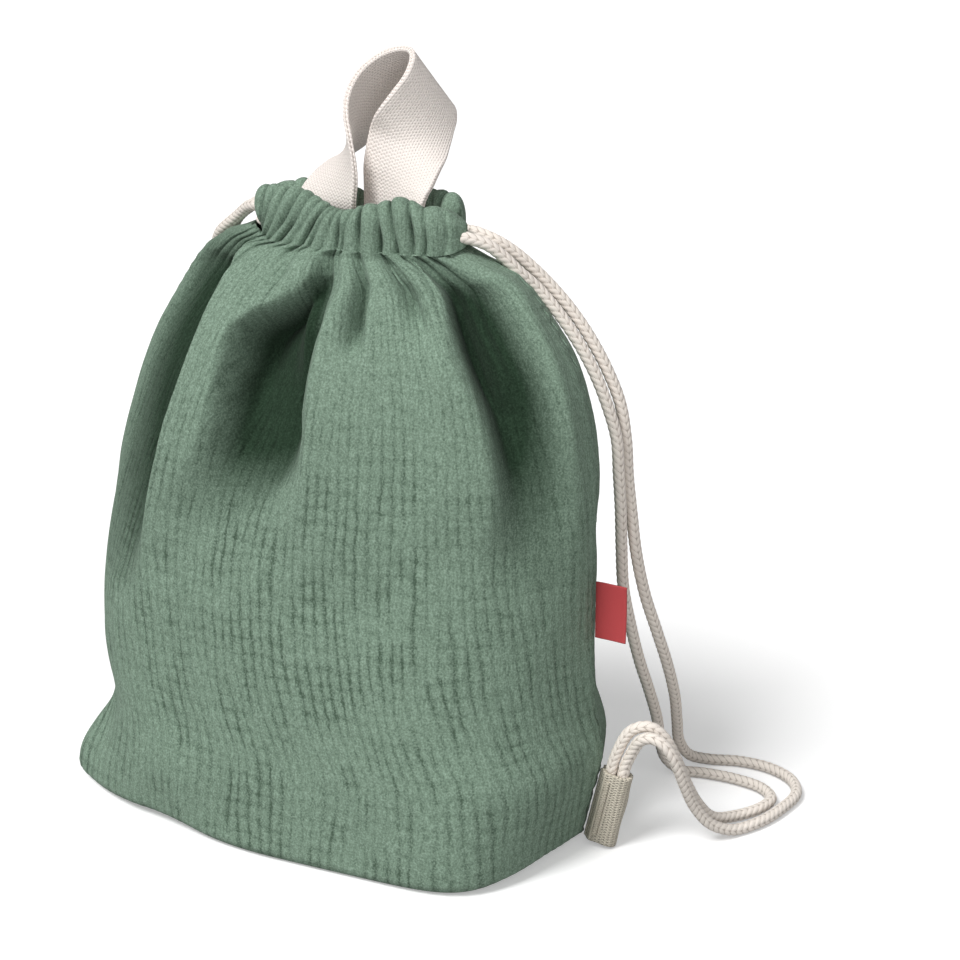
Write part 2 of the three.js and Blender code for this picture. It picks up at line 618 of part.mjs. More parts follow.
const rightTab = tabFrame(1, 0);
const leftTab = tabFrame(-1, THREE.MathUtils.degToRad(TAB_TURN_LEFT));
tabMesh('right_cord_tab', rightTab);
tabMesh('left_cord_tab', leftTab);
tabBartack('right_tab_bartack', rightTab);
tabBartack('left_tab_bartack', leftTab);

// Cord runs: each cord goes along one casing, turns at the far end and comes back along the other
const RUN_STEPS = 40;

function cordRun(hand, lane) {
  const places = [1, 0.8, 0.6, 0.4, 0.2, 0, -0.2, -0.4, -0.6, -0.8, -1];
  const go = places.map((across) => inCasing(FRONT, hand * across, 0, lane));
  const back = places.map((across) => inCasing(BACK, hand * across, 0, lane)).reverse();
  const tip = seam(-hand, NECK_HEIGHT);
  const turnReach = TURN_REACH + MOUTH_SPLIT / 2;
  const height = NECK_HEIGHT + CASING_HEIGHT / 2 + lane;
  const turn = [[0.62, -0.8], [1, 0], [0.62, 0.8]].map(([out, across]) => (
    new THREE.Vector3(tip.x - hand * out * turnReach, across * MOUTH_SPLIT, height)));
  return cordAlong([...go, ...turn, ...back], CORD, RUN_STEPS, CORD_SIDES);
}

add('right_cord_run', cordRun(1, -LANE), COTTON);
add('left_cord_run', cordRun(-1, LANE), COTTON);

// Free strands: out of the casing, along the chosen route, and down into the tab
const STRAND_STEPS = 46;

function strand(name, side, hand, lane, route, frame, seatOut) {
  const inside = inCasing(side, hand * 0.9, 0, lane);
  const exit = inCasing(side, hand, 0, lane);
  const along = exit.clone().sub(inside).normalize();
  const start = exit.clone().addScaledVector(along, SEAT);
  const lead = start.clone().addScaledVector(along, CORD / 2);
  const into = [CORD * 0.9, 0, -TAB_GRIP / 2, -TAB_GRIP].map((up) => (
    tabPlace(frame, seatOut, 0, WEBBING_WIDTH + up)));
  const points = [start, lead, ...route.map((p) => new THREE.Vector3(...p)), ...into];
  add(name, cordAlong(points, CORD, STRAND_STEPS, CORD_SIDES), COTTON);
}

strand('right_front_strand', FRONT, 1, -LANE, RIGHT_FRONT_ROUTE, rightTab, INNER_CORD);
strand('right_back_strand', BACK, 1, -LANE, RIGHT_BACK_ROUTE, rightTab, OUTER_CORD);
strand('left_front_strand', FRONT, -1, LANE, LEFT_FRONT_ROUTE, leftTab, INNER_CORD);
strand('left_back_strand', BACK, -1, LANE, LEFT_BACK_ROUTE, leftTab, OUTER_CORD);

// Side label: a folded woven strip whose raw edge is caught in the right side seam
function sideLabel() {
  const profile = new THREE.Shape();
  profile.moveTo(0, -LABEL_ROOT / 2);
  profile.lineTo(LABEL_THICK, -LABEL_THICK / 2);
  profile.lineTo(LABEL_LENGTH, -LABEL_THICK / 2);
  profile.lineTo(LABEL_LENGTH, LABEL_THICK / 2);
  profile.lineTo(LABEL_THICK, LABEL_THICK / 2);
  profile.lineTo(0, LABEL_ROOT / 2);
  const label = new THREE.ExtrudeGeometry(profile, { depth: LABEL_HEIGHT, bevelEnabled: false });
  const reach = Math.max(seam(1, LABEL_BOTTOM).x, seam(1, LABEL_BOTTOM + LABEL_HEIGHT).x);
  return label.translate(reach + CLOTH / 2 + SEAT, 0, LABEL_BOTTOM);
}

add('side_label', sideLabel(), RED, 0.7);

// Stand the bag on the floor with its middle at the origin, measured without the free strands
const body = new THREE.Box3();
for (const mesh of object.children) {
  if (!mesh.name.endsWith('_strand')) body.expandByObject(mesh);
}
const middle = body.getCenter(new THREE.Vector3());
object.position.set(-middle.x, -middle.y, -body.min.z);

export default object;
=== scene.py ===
import math

import bmesh
import bpy
import numpy as np
from bpy.props import FloatProperty, FloatVectorProperty, PointerProperty
from mathutils import Matrix, Vector


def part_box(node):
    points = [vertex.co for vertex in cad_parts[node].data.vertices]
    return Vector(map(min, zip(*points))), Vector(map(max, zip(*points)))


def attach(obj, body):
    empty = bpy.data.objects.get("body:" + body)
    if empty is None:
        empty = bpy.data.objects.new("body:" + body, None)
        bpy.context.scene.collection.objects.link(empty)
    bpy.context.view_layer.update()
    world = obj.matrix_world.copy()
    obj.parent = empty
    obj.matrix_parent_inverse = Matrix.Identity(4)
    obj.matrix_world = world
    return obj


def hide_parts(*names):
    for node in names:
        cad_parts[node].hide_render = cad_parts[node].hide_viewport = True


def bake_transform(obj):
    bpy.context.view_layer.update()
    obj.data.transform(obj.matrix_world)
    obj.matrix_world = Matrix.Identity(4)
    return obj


bl_info = {
    "name": "Child's drawstring backpack",
    "version": (1, 0, 0),
    "blender": (4, 5, 0),
    "location": "3D View > Sidebar > Backpack",
    "description": "Crinkled gauze bag with braided cords, webbing handle and cord tabs",
    "category": "Add Mesh",
}

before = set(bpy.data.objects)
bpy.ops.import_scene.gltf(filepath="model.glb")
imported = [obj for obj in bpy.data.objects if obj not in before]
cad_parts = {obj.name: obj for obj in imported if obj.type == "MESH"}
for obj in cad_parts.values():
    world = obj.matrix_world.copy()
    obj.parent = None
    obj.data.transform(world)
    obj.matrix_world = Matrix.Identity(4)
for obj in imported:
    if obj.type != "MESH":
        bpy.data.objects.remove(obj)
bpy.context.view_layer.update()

# The bag is shaped in millimetres around the middle of its neck, front towards -Y, and then moved here.
MM = 0.001
FRONT, BACK = -1, 1
NECK_LEFT, NECK_RIGHT, NECK_DEPTH = 55.0, 53.0, 10.0
CASING_HEIGHT, CASING_THICK = 20.0, 13.0
front_low, front_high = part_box("front_casing")
_, back_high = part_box("back_casing")
NECK_HEIGHT = (front_low.z + front_high.z) / 2 / MM - CASING_HEIGHT / 2
RIM_HEIGHT = NECK_HEIGHT + CASING_HEIGHT
SHIFT = np.array([
    (front_low.x + front_high.x) / 2 / MM - (NECK_RIGHT - NECK_LEFT) / 2,
    (front_low.y + back_high.y) / 2 / MM,
    0.0,
])

# Cross-sections of the filled bag from the floor up: share of the neck height, reach to the left, right,
# front and back, squareness of the corners, roundness of the edge.
SECTIONS = np.array([
    (0.000, 150.0, 114.0, 80.0, 70.0, 9.0, 0.90),
    (0.060, 148.0, 117.0, 79.0, 70.0, 8.5, 0.90),
    (0.170, 146.0, 124.0, 77.0, 70.0, 6.5, 0.82),
    (0.250, 152.0, 120.0, 75.0, 69.0, 5.2, 0.75),
    (0.360, 156.0, 118.0, 73.0, 68.0, 4.2, 0.70),
    (0.520, 149.0, 118.0, 68.0, 66.0, 3.2, 0.62),
    (0.680, 133.5, 118.0, 62.0, 62.0, 2.7, 0.58),
    (0.820, 112.5, 109.0, 52.0, 54.0, 2.4, 0.56),
    (0.920, 92.5, 91.0, 39.0, 41.0, 2.2, 0.60),
    (0.965, 81.0, 79.0, 27.0, 27.0, 2.1, 0.70),
    (0.988, 70.0, 63.0, 13.5, 13.5, 2.0, 0.90),
    (1.000, NECK_LEFT, NECK_RIGHT, NECK_DEPTH, NECK_DEPTH, 2.0, 1.0),
])
AT, LEFT, RIGHT, TO_FRONT, TO_BACK, SQUARE, ROUND = range(7)
# Half the gap between the panels along the seams and at the mouth, and the height over which it opens
SEAM_GAP, MOUTH_SPLIT, SPLIT_LENGTH = 0.15, 7.0, 18.0
# How far to the back the left seam lies, and how steeply that dies out to the right
LEFT_SEAM_BACK, SEAM_SWEEP = 36.0, 6
# How far both side seams draw the cloth in beside them
SEAM_PULL = 5.0
# The lower left corner pokes out like an ear: how far, at which height, how far up and down, its place
# across each panel with half width and share, and how much of it goes left and forward.
EAR_REACH, EAR_HEIGHT, EAR_SPREAD = 11.0, 8.0, 23.0
EAR_ACROSS = {FRONT: (-0.9, 0.12, 1.0), BACK: (-1.0, 0.06, 0.5)}
EAR_LEFT, EAR_FORWARD = 0.75, 0.65
# Where a panel's base edge is tucked under: place across, half width, how far back and how far up; and the
# height over which that dies out.
TUCKS = {FRONT: ((-0.52, 0.26, 6.0, 3.2), (0.95, 0.10, 0.0, 4.5)), BACK: ()}
TUCK_HEIGHT = 24.0
# Radius of the base's edge, and how far the cloth's outer face lies outside the net it is shaped on
BASE_ROUND, FLOOR_CLOTH = 6.0, 1.0
# How far the gathered cloth stands out under the casing, and the distance from the seams where it gets there
CASING_FOOT, FOOT_EASE = 7.0, 14.0
# The height about which the gathers swing
GATHER_MIDDLE = 0.6

# The panels' mesh: columns, rows under the base and round its edge, heights of the rows up the wall, places
# across that lie closer near the seams, and where each panel starts on the flat cloth.
PANEL_COLUMNS, UNDER_ROWS, EDGE_ROWS = 300, 6, 9
WALL_HEIGHTS = np.concatenate([np.linspace(11.8, 200, 82), np.linspace(201.8, NECK_HEIGHT + 0.2, 60)])
CLOSE_PLACES = -np.cos(np.linspace(0, np.pi, 901))
CLOTH_START = {FRONT: 0.0, BACK: 1000.0}
CASING_COLUMNS, CASING_AROUND = 300, 44

# Pockets of the front panel, where the cloth folds back behind its neighbours, and the flat ridge between
# two of them: the shade painted into the cloth's colour there, then heights, places across of the left and
# right wall, depths at both, and half widths of both walls.
FRONT_POCKETS = [
    # from the middle of the neck down to the left
    (1.15,
     [287, 281, 275, 265, 256, 249, 235, 220, 207, 190, 175, 160],
     [-.06, -.04, -.05, -.16, -.29, -.35, -.34, -.32, -.30, -.31, -.35, -.42],
     [.05, .05, .04, .03, .02, .00, -.005, -.005, .02, .01, -.06, -.18],
     [0, -4, -11, -21, -26, -27, -25, -20, -14, -8, -3, 0],
     [0, -2, -3, -4, -6, -9, -12, -12, -10, -7, -3, 0],
     [3, 3, 4, 5, 5, 5, 5, 6, 8, 12, 16, 20],
     [3, 3, 3, 3, 3, 3, 3, 3.5, 4.5, 7, 11, 16]),
    # the first ridge, with a sharp left edge
    (0.0,
     [287, 278, 268, 256, 240, 220, 195, 165, 135, 105],
     [-.68, -.63, -.59, -.57, -.55, -.54, -.545, -.56, -.58, -.60],
     [-.12, -.12, -.18, -.29, -.33, -.30, -.29, -.36, -.42, -.46],
     [0, 3, 6, 8, 9, 9, 8, 6, 3, 0],
     [0, 2, 4, 6, 8, 9, 7, 5, 2, 0],
     [3, 3, 3, 3, 3, 3.5, 4, 6, 10, 16],
     [5, 6, 6, 6, 7, 8, 12, 18, 24, 28]),
    # between the left side and that ridge
    (1.3,
     [287, 281, 275, 265, 250, 235, 215, 190, 165, 140, 115],
     [-.98, -.98, -.97, -.96, -.94, -.92, -.90, -.89, -.88, -.87, -.86],
     [-.74, -.69, -.65, -.61, -.58, -.56, -.55, -.55, -.565, -.58, -.60],
     [0, -1.5, -3, -4, -4, -4, -4, -3, -2, -1, 0],
     [0, -4, -10, -14, -15, -15, -14, -12, -9, -5, 0],
     [4, 5, 6, 7, 9, 10, 11, 12, 13, 14, 15],
     [3, 3, 3, 3, 3, 3, 3.5, 5, 7, 11, 14]),
    # between the swell in the middle and the right seam
    (1.15,
     [287, 280, 272, 262, 250, 238, 225, 208, 190, 165, 140],
     [.57, .62, .655, .67, .68, .70, .735, .765, .785, .80, .81],
     [.80, .84, .87, .89, .90, .91, .92, .93, .94, .95, .95],
     [0, -5, -12, -18, -20, -20, -18, -14, -9, -4, 0],
     [0, -3, -6, -7, -7, -7, -6, -5, -4, -2, 0],
     [3, 3, 3.5, 4, 4, 4, 5, 6, 8, 12, 16],
     [4, 5, 6, 6, 7, 7, 7, 8, 9, 10, 12]),
]
# Ridges and dimples of the panels: heights, places across, depths and widths to the left and right, in mm.
FRONT_FOLDS = [
    # the swell in the middle, with its sharp left and right edges
    ([287, 275, 263, 250, 230, 205, 186, 160, 130], [.15, .12, .09, .07, .06, .09, .10, .10, .12],
     [0, 2.5, 5, 7, 7.5, 6.5, 5, 2.5, 0], [3, 3, 3.5, 3.5, 4, 5, 7, 12, 20],
     [9, 12, 16, 20, 25, 29, 31, 34, 38]),
    ([287, 276, 266, 254, 244, 233, 218, 195, 165, 140], [.50, .57, .60, .60, .61, .65, .69, .71, .72, .72],
     [0, 2.5, 4.5, 6.5, 7.5, 7.5, 6.5, 4.5, 2, 0], [8, 11, 14, 18, 20, 22, 24, 27, 30, 34],
     [4, 4, 4.5, 4.5, 5, 5.5, 7, 10, 15, 20]),
    # narrow folds inside the pockets
    ([287, 278, 266, 254, 242, 228], [-.10, -.09, -.08, -.075, -.07, -.06],
     [0, 3, 6, 6, 4, 0], [3, 3.5, 4, 4.5, 5, 6], [3, 4, 4.5, 5, 6, 7]),
    ([287, 278, 266, 252, 238, 222], [.69, .725, .765, .785, .80, .82],
     [0, 2.5, 5, 6, 5, 0], [3, 3.5, 4, 4.5, 5, 6], [3, 4, 4.5, 5, 6, 7]),
    # the ridge along the right seam
    ([287, 272, 253, 229, 197, 149, 115], [.95, .94, .94, .94, .95, .97, .98],
     [0, 2.5, 4.5, 5, 4, 2, 0], [5, 6, 7, 8, 9, 10, 12], [5, 6, 6, 7, 8, 9, 10]),
    # short pleats that end in a dimple
    ([287, 279, 270, 260, 252, 243], [.22, .22, .215, .21, .205, .20],
     [0, -5, -10, -12, -9, 0], [2.2, 2.8, 3.6, 4.2, 4.4, 4], [2.2, 2.4, 2.8, 3, 3.4, 4]),
    ([287, 281, 272, 263, 255, 246], [.39, .43, .47, .50, .52, .54],
     [0, -4.5, -8, -6.5, -3, 0], [2.6, 3.2, 4, 5, 7, 8], [2.6, 3, 3.4, 4, 5, 6]),
    ([287, 280, 270, 260], [-.31, -.28, -.27, -.28],
     [0, -3, -2.5, 0], [3, 3.4, 4, 5], [3, 3.4, 4, 5]),
    # slack cloth low on the front, and the corner that pokes out
    ([150, 120, 90, 60, 30], [-.30, -.33, -.36, -.38, -.40],
     [0, -1.8, -2.5, -2, 0], [20, 20, 20, 18, 16], [22, 24, 24, 22, 20]),
    ([130, 100, 70, 40, 15], [.30, .34, .38, .42, .45],
     [0, 1.6, 2.4, 1.8, 0], [26, 28, 28, 24, 20], [26, 26, 24, 20, 18]),
    ([70, 45, 28, 14, 0], [-.84, -.86, -.88, -.89, -.89], [0, 1, 5, 7, 6], [10, 10, 10, 9, 9],
     [10, 12, 12, 12, 12]),
]
BACK_FOLDS = [
    ([287, 262, 240, 205, 162], [-.30, -.36, -.41, -.47, -.52],
     [-1, -9, -13, -8, 0], [5, 8, 11, 16, 22], [7, 12, 16, 21, 27]),
    ([287, 258, 225, 180, 147], [.00, .00, .01, .02, .02],
     [0, 4, 6, 3, 0], [11, 15, 20, 26, 30], [11, 15, 20, 26, 30]),
    ([287, 262, 235, 195, 157], [.34, .37, .40, .44, .46],
     [-1, -10, -14, -8, 0], [7, 11, 15, 21, 26], [5, 8, 11, 17, 22]),
    ([287, 262, 235, 190, 137], [.72, .72, .71, .70, .70],
     [0, 3, 4.5, 3, 0], [8, 11, 14, 18, 22], [8, 11, 14, 18, 22]),
    ([287, 262, 230, 180], [-.72, -.74, -.76, -.76],
     [0, 3, 4.5, 0], [8, 11, 14, 18], [8, 10, 12, 15]),
]
FOLDS = {FRONT: FRONT_FOLDS, BACK: BACK_FOLDS}
POCKETS = {FRONT: FRONT_POCKETS, BACK: []}

# Valleys between the gathers of the front casing: places across at the stitch line, half-way up and at the
# rim, and the share of the full depth.
PLEATS = np.array([
    (-1.02, -1.02, -1.02, 0.3), (-.837, -.741, -.732, 0.8), (-.774, -.689, -.611, 0.7),
    (-.715, -.595, -.512, 0.8), (-.645, -.487, -.367, 0.8), (-.533, -.380, -.270, 0.9),
    (-.420, -.290, -.190, 0.5), (-.308, -.205, -.108, 1.0), (-.231, -.145, -.064, 0.6),
    (-.110, -.050, -.020, 0.5), (.014, .030, .030, 0.8), (.070, .092, .122, 0.6),
    (.218, .212, .205, 1.0), (.394, .387, .327, 1.0), (.538, .505, .446, 1.0),
    (.660, .650, .601, 0.9), (.753, .757, .726, 0.7), (.876, .897, .861, 0.3),
    (1.04, 1.04, 1.04, 0.0),
])
# How the rim rises and falls across
RIM_WAVE = ([-1, -.92, -.74, -.55, -.34, -.18, -.03, .11, .20, .33, .49, .61, .71, .83, .95, 1],
            [-3, -.5, 3.6, 4.2, 3.8, 0, -3, -2.6, -.3, .7, 3.6, 3.2, .3, .1, -3.2, -4.5])

# The cords: height of each one's lane off the casing's middle, and room round a cord. In shares of the
# casing's half length: where the strands come out, where the runs inside start and where they turn back.
# Right is 1, left is -1.
CORD_LANE, CORD_PLAY = 3.2, 0.3
CORD_EXIT = {1: 1.0, -1: 0.84}
RUN_START, RUN_TURN = 0.78, {1: 0.82, -1: 0.72}
# The tabs: height of the lower edge, turn of the left one, length of cord inside, flare from the seam to the
# cords, and room to the seam
TAB_BOTTOM, TAB_TURN_LEFT, TAB_GRIP, TAB_FLARE, TAB_CLEAR = 5.0, 12.0, 24.0, 3.0, 1.3
# A bar tack: width, height, turns of the thread, and sides of its tube
TACK_WIDTH, TACK_HEIGHT, TACK_TURNS, TACK_SIDES = 30.4, 2.4, 22, 6
# The free strands: hand, casing, and places along the route to the tab.
ROUTES = {
    "right_front_strand": (1, FRONT, [
        (65, -2, 290.5), (71, 1.5, 285), (77, 5, 278), (84, 10, 270), (93, 13, 259), (102, 15, 246),
        (110, 17, 231), (116, 19, 215), (120, 21, 199), (121, 22, 182), (122, 23, 164), (122, 25, 146),
        (122, 29, 123), (124, 35, 101), (126, 43, 80), (128, 53, 60), (129, 63, 41), (128, 72, 24),
        (129, 80, 10), (136, 84, 3.3), (148, 86, 3.1), (164, 86, 3.1), (179, 82, 3.1), (187, 73, 3.1),
        (185, 61, 3.1), (176, 47, 3.6), (169, 34, 8), (164, 25, 19), (160, 17, 34), (157, 10, 49),
        (153.5, 6, 59), (149, 3.5, 64.5), (145, 2, 66), (141, 1, 65), (137.5, 0.5, 62.5), (134.5, 0.1, 58)]),
    "right_back_strand": (1, BACK, [
        (65, 6.5, 291), (72, 10, 286), (79, 14, 279), (87, 18, 270), (96, 21, 259), (105, 23, 246),
        (113, 25, 231), (119, 27, 215), (122, 28, 197), (123, 29, 179), (125, 30, 160), (127, 32, 140),
        (130, 37, 118), (134, 44, 97), (137, 53, 76), (138, 63, 55), (136, 74, 36), (134, 85, 19),
        (137, 95, 7), (146, 102, 3.2), (160, 106, 3.1), (176, 105, 3.1), (190, 97, 3.1), (197, 83, 3.1),
        (195, 65, 3.1), (189, 47, 3.1), (180, 33, 3.8), (172, 23, 10), (166, 15, 22), (163, 7, 37),
        (161, 2, 48), (158.5, -1, 55.5), (154.5, -2.7, 61), (149, -3.4, 63), (144, -2.9, 60.5),
        (141, -1.6, 56)]),
    "left_front_strand": (-1, FRONT, [
        (-56, -4.5, 298), (-61, -1, 294.8), (-66.5, 2.5, 290.8), (-72.5, 5.5, 286.6),
        (-79.5, 9.5, 281.5), (-86, 16, 275), (-92, 25, 266),
        (-97, 35, 253), (-102, 45.5, 237), (-106, 55, 218), (-109, 63, 196), (-111, 69, 172), (-113, 74, 146),
        (-115, 78, 120), (-116, 82, 94), (-117, 86, 68), (-116, 91, 44), (-113, 97, 23), (-106, 103, 8),
        (-95, 109, 3.2), (-85, 116, 3.1), (-81, 126, 3.1), (-89, 134.5, 3.1), (-103, 133.5, 3.1),
        (-118, 124, 3.1), (-131, 111, 3.3), (-141, 98, 7), (-148, 86, 16), (-152, 75, 30),
        (-153.7, 67, 43), (-153.3, 61, 54), (-152.3, 55, 61), (-151.3, 49, 63.5), (-150.4, 43, 61),
        (-149.8, 39, 55)]),
    "left_back_strand": (-1, BACK, [
        (-57, 8, 298.2), (-63, 10.5, 294.8), (-69.5, 15, 291), (-76, 19.5, 286.2),
        (-82, 25, 280), (-87, 32, 271.5), (-91, 40.5, 260),
        (-94.5, 49, 246), (-97.5, 57, 230), (-100, 65, 208), (-102, 73, 180), (-103, 78, 154),
        (-104, 82, 128),
        (-105, 85, 102), (-105, 88, 76), (-104, 92, 52), (-101, 97, 29), (-94, 103, 11), (-83, 109, 3.4),
        (-72, 118, 3.1), (-69, 131, 3.1), (-77, 142, 3.1), (-92, 146, 3.1), (-110, 142, 3.1),
        (-127, 131, 3.1), (-141, 116, 3.3), (-151, 101, 7), (-158, 89, 17), (-162, 79, 31),
        (-163.3, 71, 45), (-162.3, 64, 57), (-160.6, 57, 64), (-158.8, 51, 66), (-157, 45, 63),
        (-156.2, 41, 57)]),
}

# The handle from one sewn end to the other: x, y, rise above the rim, turn of the band's width about the
# vertical and its tilt, in mm and degrees. The band makes half a turn.
HANDLE = [
    (-20.0, 3.7, -26.0, 0, 0), (-20.0, 3.0, -14.0, -4, 0), (-17.5, 0.4, -4.2, -20, -2),
    (-14.4, 3.2, 6.4, -34, 2), (-12.3, 7.1, 14.7, -47, 11), (-10.5, 10.6, 20.7, -62, 22),
    (-9.5, 14.7, 27.4, -77, 32), (-7.9, 18.7, 33.5, -88, 37), (-3.3, 23.6, 41.0, -97, 43),
    (3.8, 27.8, 47.2, -101, 46), (12.3, 29.8, 51.0, -103, 47), (20.4, 29.2, 51.8, -105, 47),
    (25.0, 26.2, 49.4, -110, 46), (26.4, 21.7, 43.8, -116, 41), (24.5, 16.2, 36.4, -127, 37),
    (21.6, 11.6, 28.7, -147, 31), (19.8, 8.4, 22.4, -172, 23), (18.8, 5.7, 16.6, -182, 17),
    (17.8, 3.8, 10.5, -189, 11), (16.9, 2.8, 4.9, -196, 5), (16.4, 1.9, -3.0, -200, 0),
    (18.5, 2.8, -14.0, -187, 0), (20.0, 3.7, -26.0, -180, 0),
]
# The handle's sewn ends: how far they reach down from the rim, and the distance between their middles
TAIL_LENGTH, TAIL_SPACING = 26.0, 40.0
# The label: height of its lower edge, distance of its layers from the fold's middle, and cloth in metres
LABEL_BOTTOM, LABEL_PLY, LABEL_THICK = 108.0, 0.30, 0.0004
# Seam allowances: width, distance from the outside, and ends of the side seams (heights) and of the base
# seam and the stitch rows (places across)
ALLOWANCE, ALLOWANCE_INSET = 8.0, 2.6
SIDE_SEAM_ENDS, BASE_SEAM_ENDS, STITCH_ENDS = (36, 232), (-0.82, 0.82), (-0.9, 0.95)

# Weaves: yarn spacing across and along in mm, slant, width of a herringbone column, and relief in metres
HANDLE_WEAVE, HANDLE_RELIEF = dict(across=1.25, along=1.65, slant=0.66, column=1.25), 0.0005
TAB_WEAVE, TAB_RELIEF = dict(across=1.9, along=1.4, slant=0.5, column=1.9), 0.0011
LABEL_WEAVE = dict(across=0.45, along=0.28)
WEBBING_FIBRE, CORD_FIBRE, LABEL_FIBRE = (0.94, 0.89, 0.84), (0.92, 0.86, 0.80), (0.62, 0.12, 0.11)
# The gauze's painted shade: how dark its creases are painted, share of the cross creases in them, how far the
# hollows are painted towards their own shade, and the share of red, green and blue that the cloth keeps there
CREASE_SHADE, ROW_SHARE, HOLLOW_SHADE = 0.54, 0.42, 0.96
HOLLOW_LIGHT = (0.070, 0.115, 0.078)

# The camera: azimuth and elevation in degrees, distance in metres, focal length, and the place it aims at
AZIMUTH, ELEVATION, DISTANCE, LENS = 24.0, 19.5, 1.060, 83.0
AIM = (50.41, 22.00, 168.87)
# Light: strength of the surround for all but the camera, glow of the floor for the camera, half the floor's
# side, and the suns' names, directions, angles and strengths
SKY, FLOOR_GLOW, FLOOR_HALF = 0.17, 0.34, 12.0
SUNS = (("key", (-0.22, -0.54, 0.81), 22.0, 2.85), ("fill", (0.55, -0.70, 0.45), 60.0, 0.80))


# Sizes and colours a user would change

def length(name, description, default):
    return FloatProperty(name=name, description=description, default=default, min=0.0, unit="LENGTH")


def colour(name, description, default):
    return FloatVectorProperty(name=name, description=description, default=default, size=3,
                               min=0.0, max=1.0, subtype="COLOR")


class BackpackSizes(bpy.types.PropertyGroup):
    """Sizes of the cloth, cords and webbing"""

    cloth: length("Cloth", "Thickness of the two bonded gauze layers", 0.0016)
    rib_spacing: length("Rib spacing", "Distance between upright creases of the flat cloth", 0.0059)
    row_spacing: length("Row spacing", "Distance between cross creases of the flat cloth", 0.0078)
    rib_depth: length("Rib depth", "Depth of the crinkle creases", 0.0006)
    pleat_depth: length("Pleat depth", "Height of the gathers along the casing", 0.0052)
    cord: length("Cord", "Diameter of the braided cord", 0.0058)
    braid_pitch: length("Braid pitch", "Length of one stitch of the braid", 0.0036)
    webbing: length("Webbing", "Thickness of the tabs' webbing", 0.0020)
    handle: length("Handle", "Thickness of the handle's webbing, folded double", 0.0030)
    webbing_width: length("Webbing width", "Width of the handle and the tabs", 0.038)
    stitch: length("Stitch", "Length of one stitch under the casing", 0.0032)
    thread: length("Thread", "Diameter of the sewing thread", 0.0007)
    label_length: length("Label length", "How far the label stands out of the seam", 0.015)
    label_height: length("Label height", "Height of the label along the seam", 0.028)


class BackpackColours(bpy.types.PropertyGroup):
    """Colours of the cloth, cords, webbing, label and floor"""

    sage: colour("Sage", "Gauze yarn in the light", (0.288, 0.400, 0.309))
    # the darker yarn of the mottle, and also the shade painted along the crinkle creases
    sage_mottle_and_crease_shade: colour("Deep sage", "Gauze yarn in the creases", (0.070, 0.112, 0.077))
    sage_fibre: colour("Sage fibre", "Loose fibres that catch the light", (0.44, 0.53, 0.46))
    webbing: colour("Webbing", "Yarn of the handle", (0.94, 0.865, 0.815))
    # the tabs' beige yarn, set darker than the handle's webbing to paint in the shade the tabs stand in
    tab: colour("Tab", "Yarn of the cord tabs", (0.62, 0.57, 0.47))
    webbing_deep: colour("Deep webbing", "Gaps in the webbing's weave", (0.42, 0.35, 0.30))
    cord: colour("Cord", "Yarn of the braided cord", (0.86, 0.79, 0.72))
    cord_deep: colour("Deep cord", "Gaps in the braid", (0.27, 0.215, 0.17))
    label: colour("Label", "Woven side label", (0.50, 0.055, 0.06))
    floor: colour("Floor", "Floor under the bag", (0.80, 0.80, 0.80))


def sizes():
    return bpy.context.scene.backpack_sizes


def colours():
    return bpy.context.scene.backpack_colours


# Curves and unevenness

def through(knots, values, at):
    """A smooth curve through values at rising or falling knots, held level past both ends."""
    knots, values = np.asarray(knots, float), np.asarray(values, float)
    if knots[0] > knots[-1]:
        knots, values = knots[::-1], values[::-1]
    last = len(knots) - 1
    below = np.maximum(np.arange(last + 1) - 1, 0)
    above = np.minimum(np.arange(last + 1) + 1, last)
    slopes = (values[above] - values[below]) / (knots[above] - knots[below])
    at = np.clip(at, knots[0], knots[-1])
    i = np.clip(np.searchsorted(knots, at) - 1, 0, last - 1)
    span = knots[i + 1] - knots[i]
    t = (at - knots[i]) / span
    start = (1 + 2 * t) * (1 - t) ** 2 * values[i] + t * (1 - t) ** 2 * span * slopes[i]
    return start + t * t * (3 - 2 * t) * values[i + 1] + t * t * (t - 1) * span * slopes[i + 1]


def smoothstep(low, high, at):
    t = np.clip((at - low) / (high - low), 0.0, 1.0)
    return t * t * (3 - 2 * t)


def hump(at, middle, half):
    """A rounded rise to 1 at the middle that dies out to both sides."""
    return np.exp(-((at - middle) / half) ** 2)


def lumps(u, v, spacing_u, spacing_v, seed):
    """Smooth unevenness from -1 to 1, with bumps about one spacing across."""
    count = 64
    values = np.random.default_rng(seed).uniform(-1, 1, (count, count))
    a, b = np.broadcast_arrays(u / spacing_u, v / spacing_v)
    i, j = np.floor(a).astype(int), np.floor(b).astype(int)
    s, t = smoothstep(0, 1, a - i), smoothstep(0, 1, b - j)

    def corner(p, q):
        return values[(i + p) % count, (j + q) % count]

    low = corner(0, 0) * (1 - s) + corner(1, 0) * s
    return low * (1 - t) + (corner(0, 1) * (1 - s) + corner(1, 1) * s) * t


def run_of(points):
    """Distance of each point from the first, along the line."""
    return np.concatenate([[0], np.cumsum(np.linalg.norm(np.diff(points, axis=0), axis=1))])


def along_line(points, run, at):
    """Places at given distances along a line."""
    return np.stack([np.interp(at, run, points[:, k]) for k in range(3)], axis=-1)


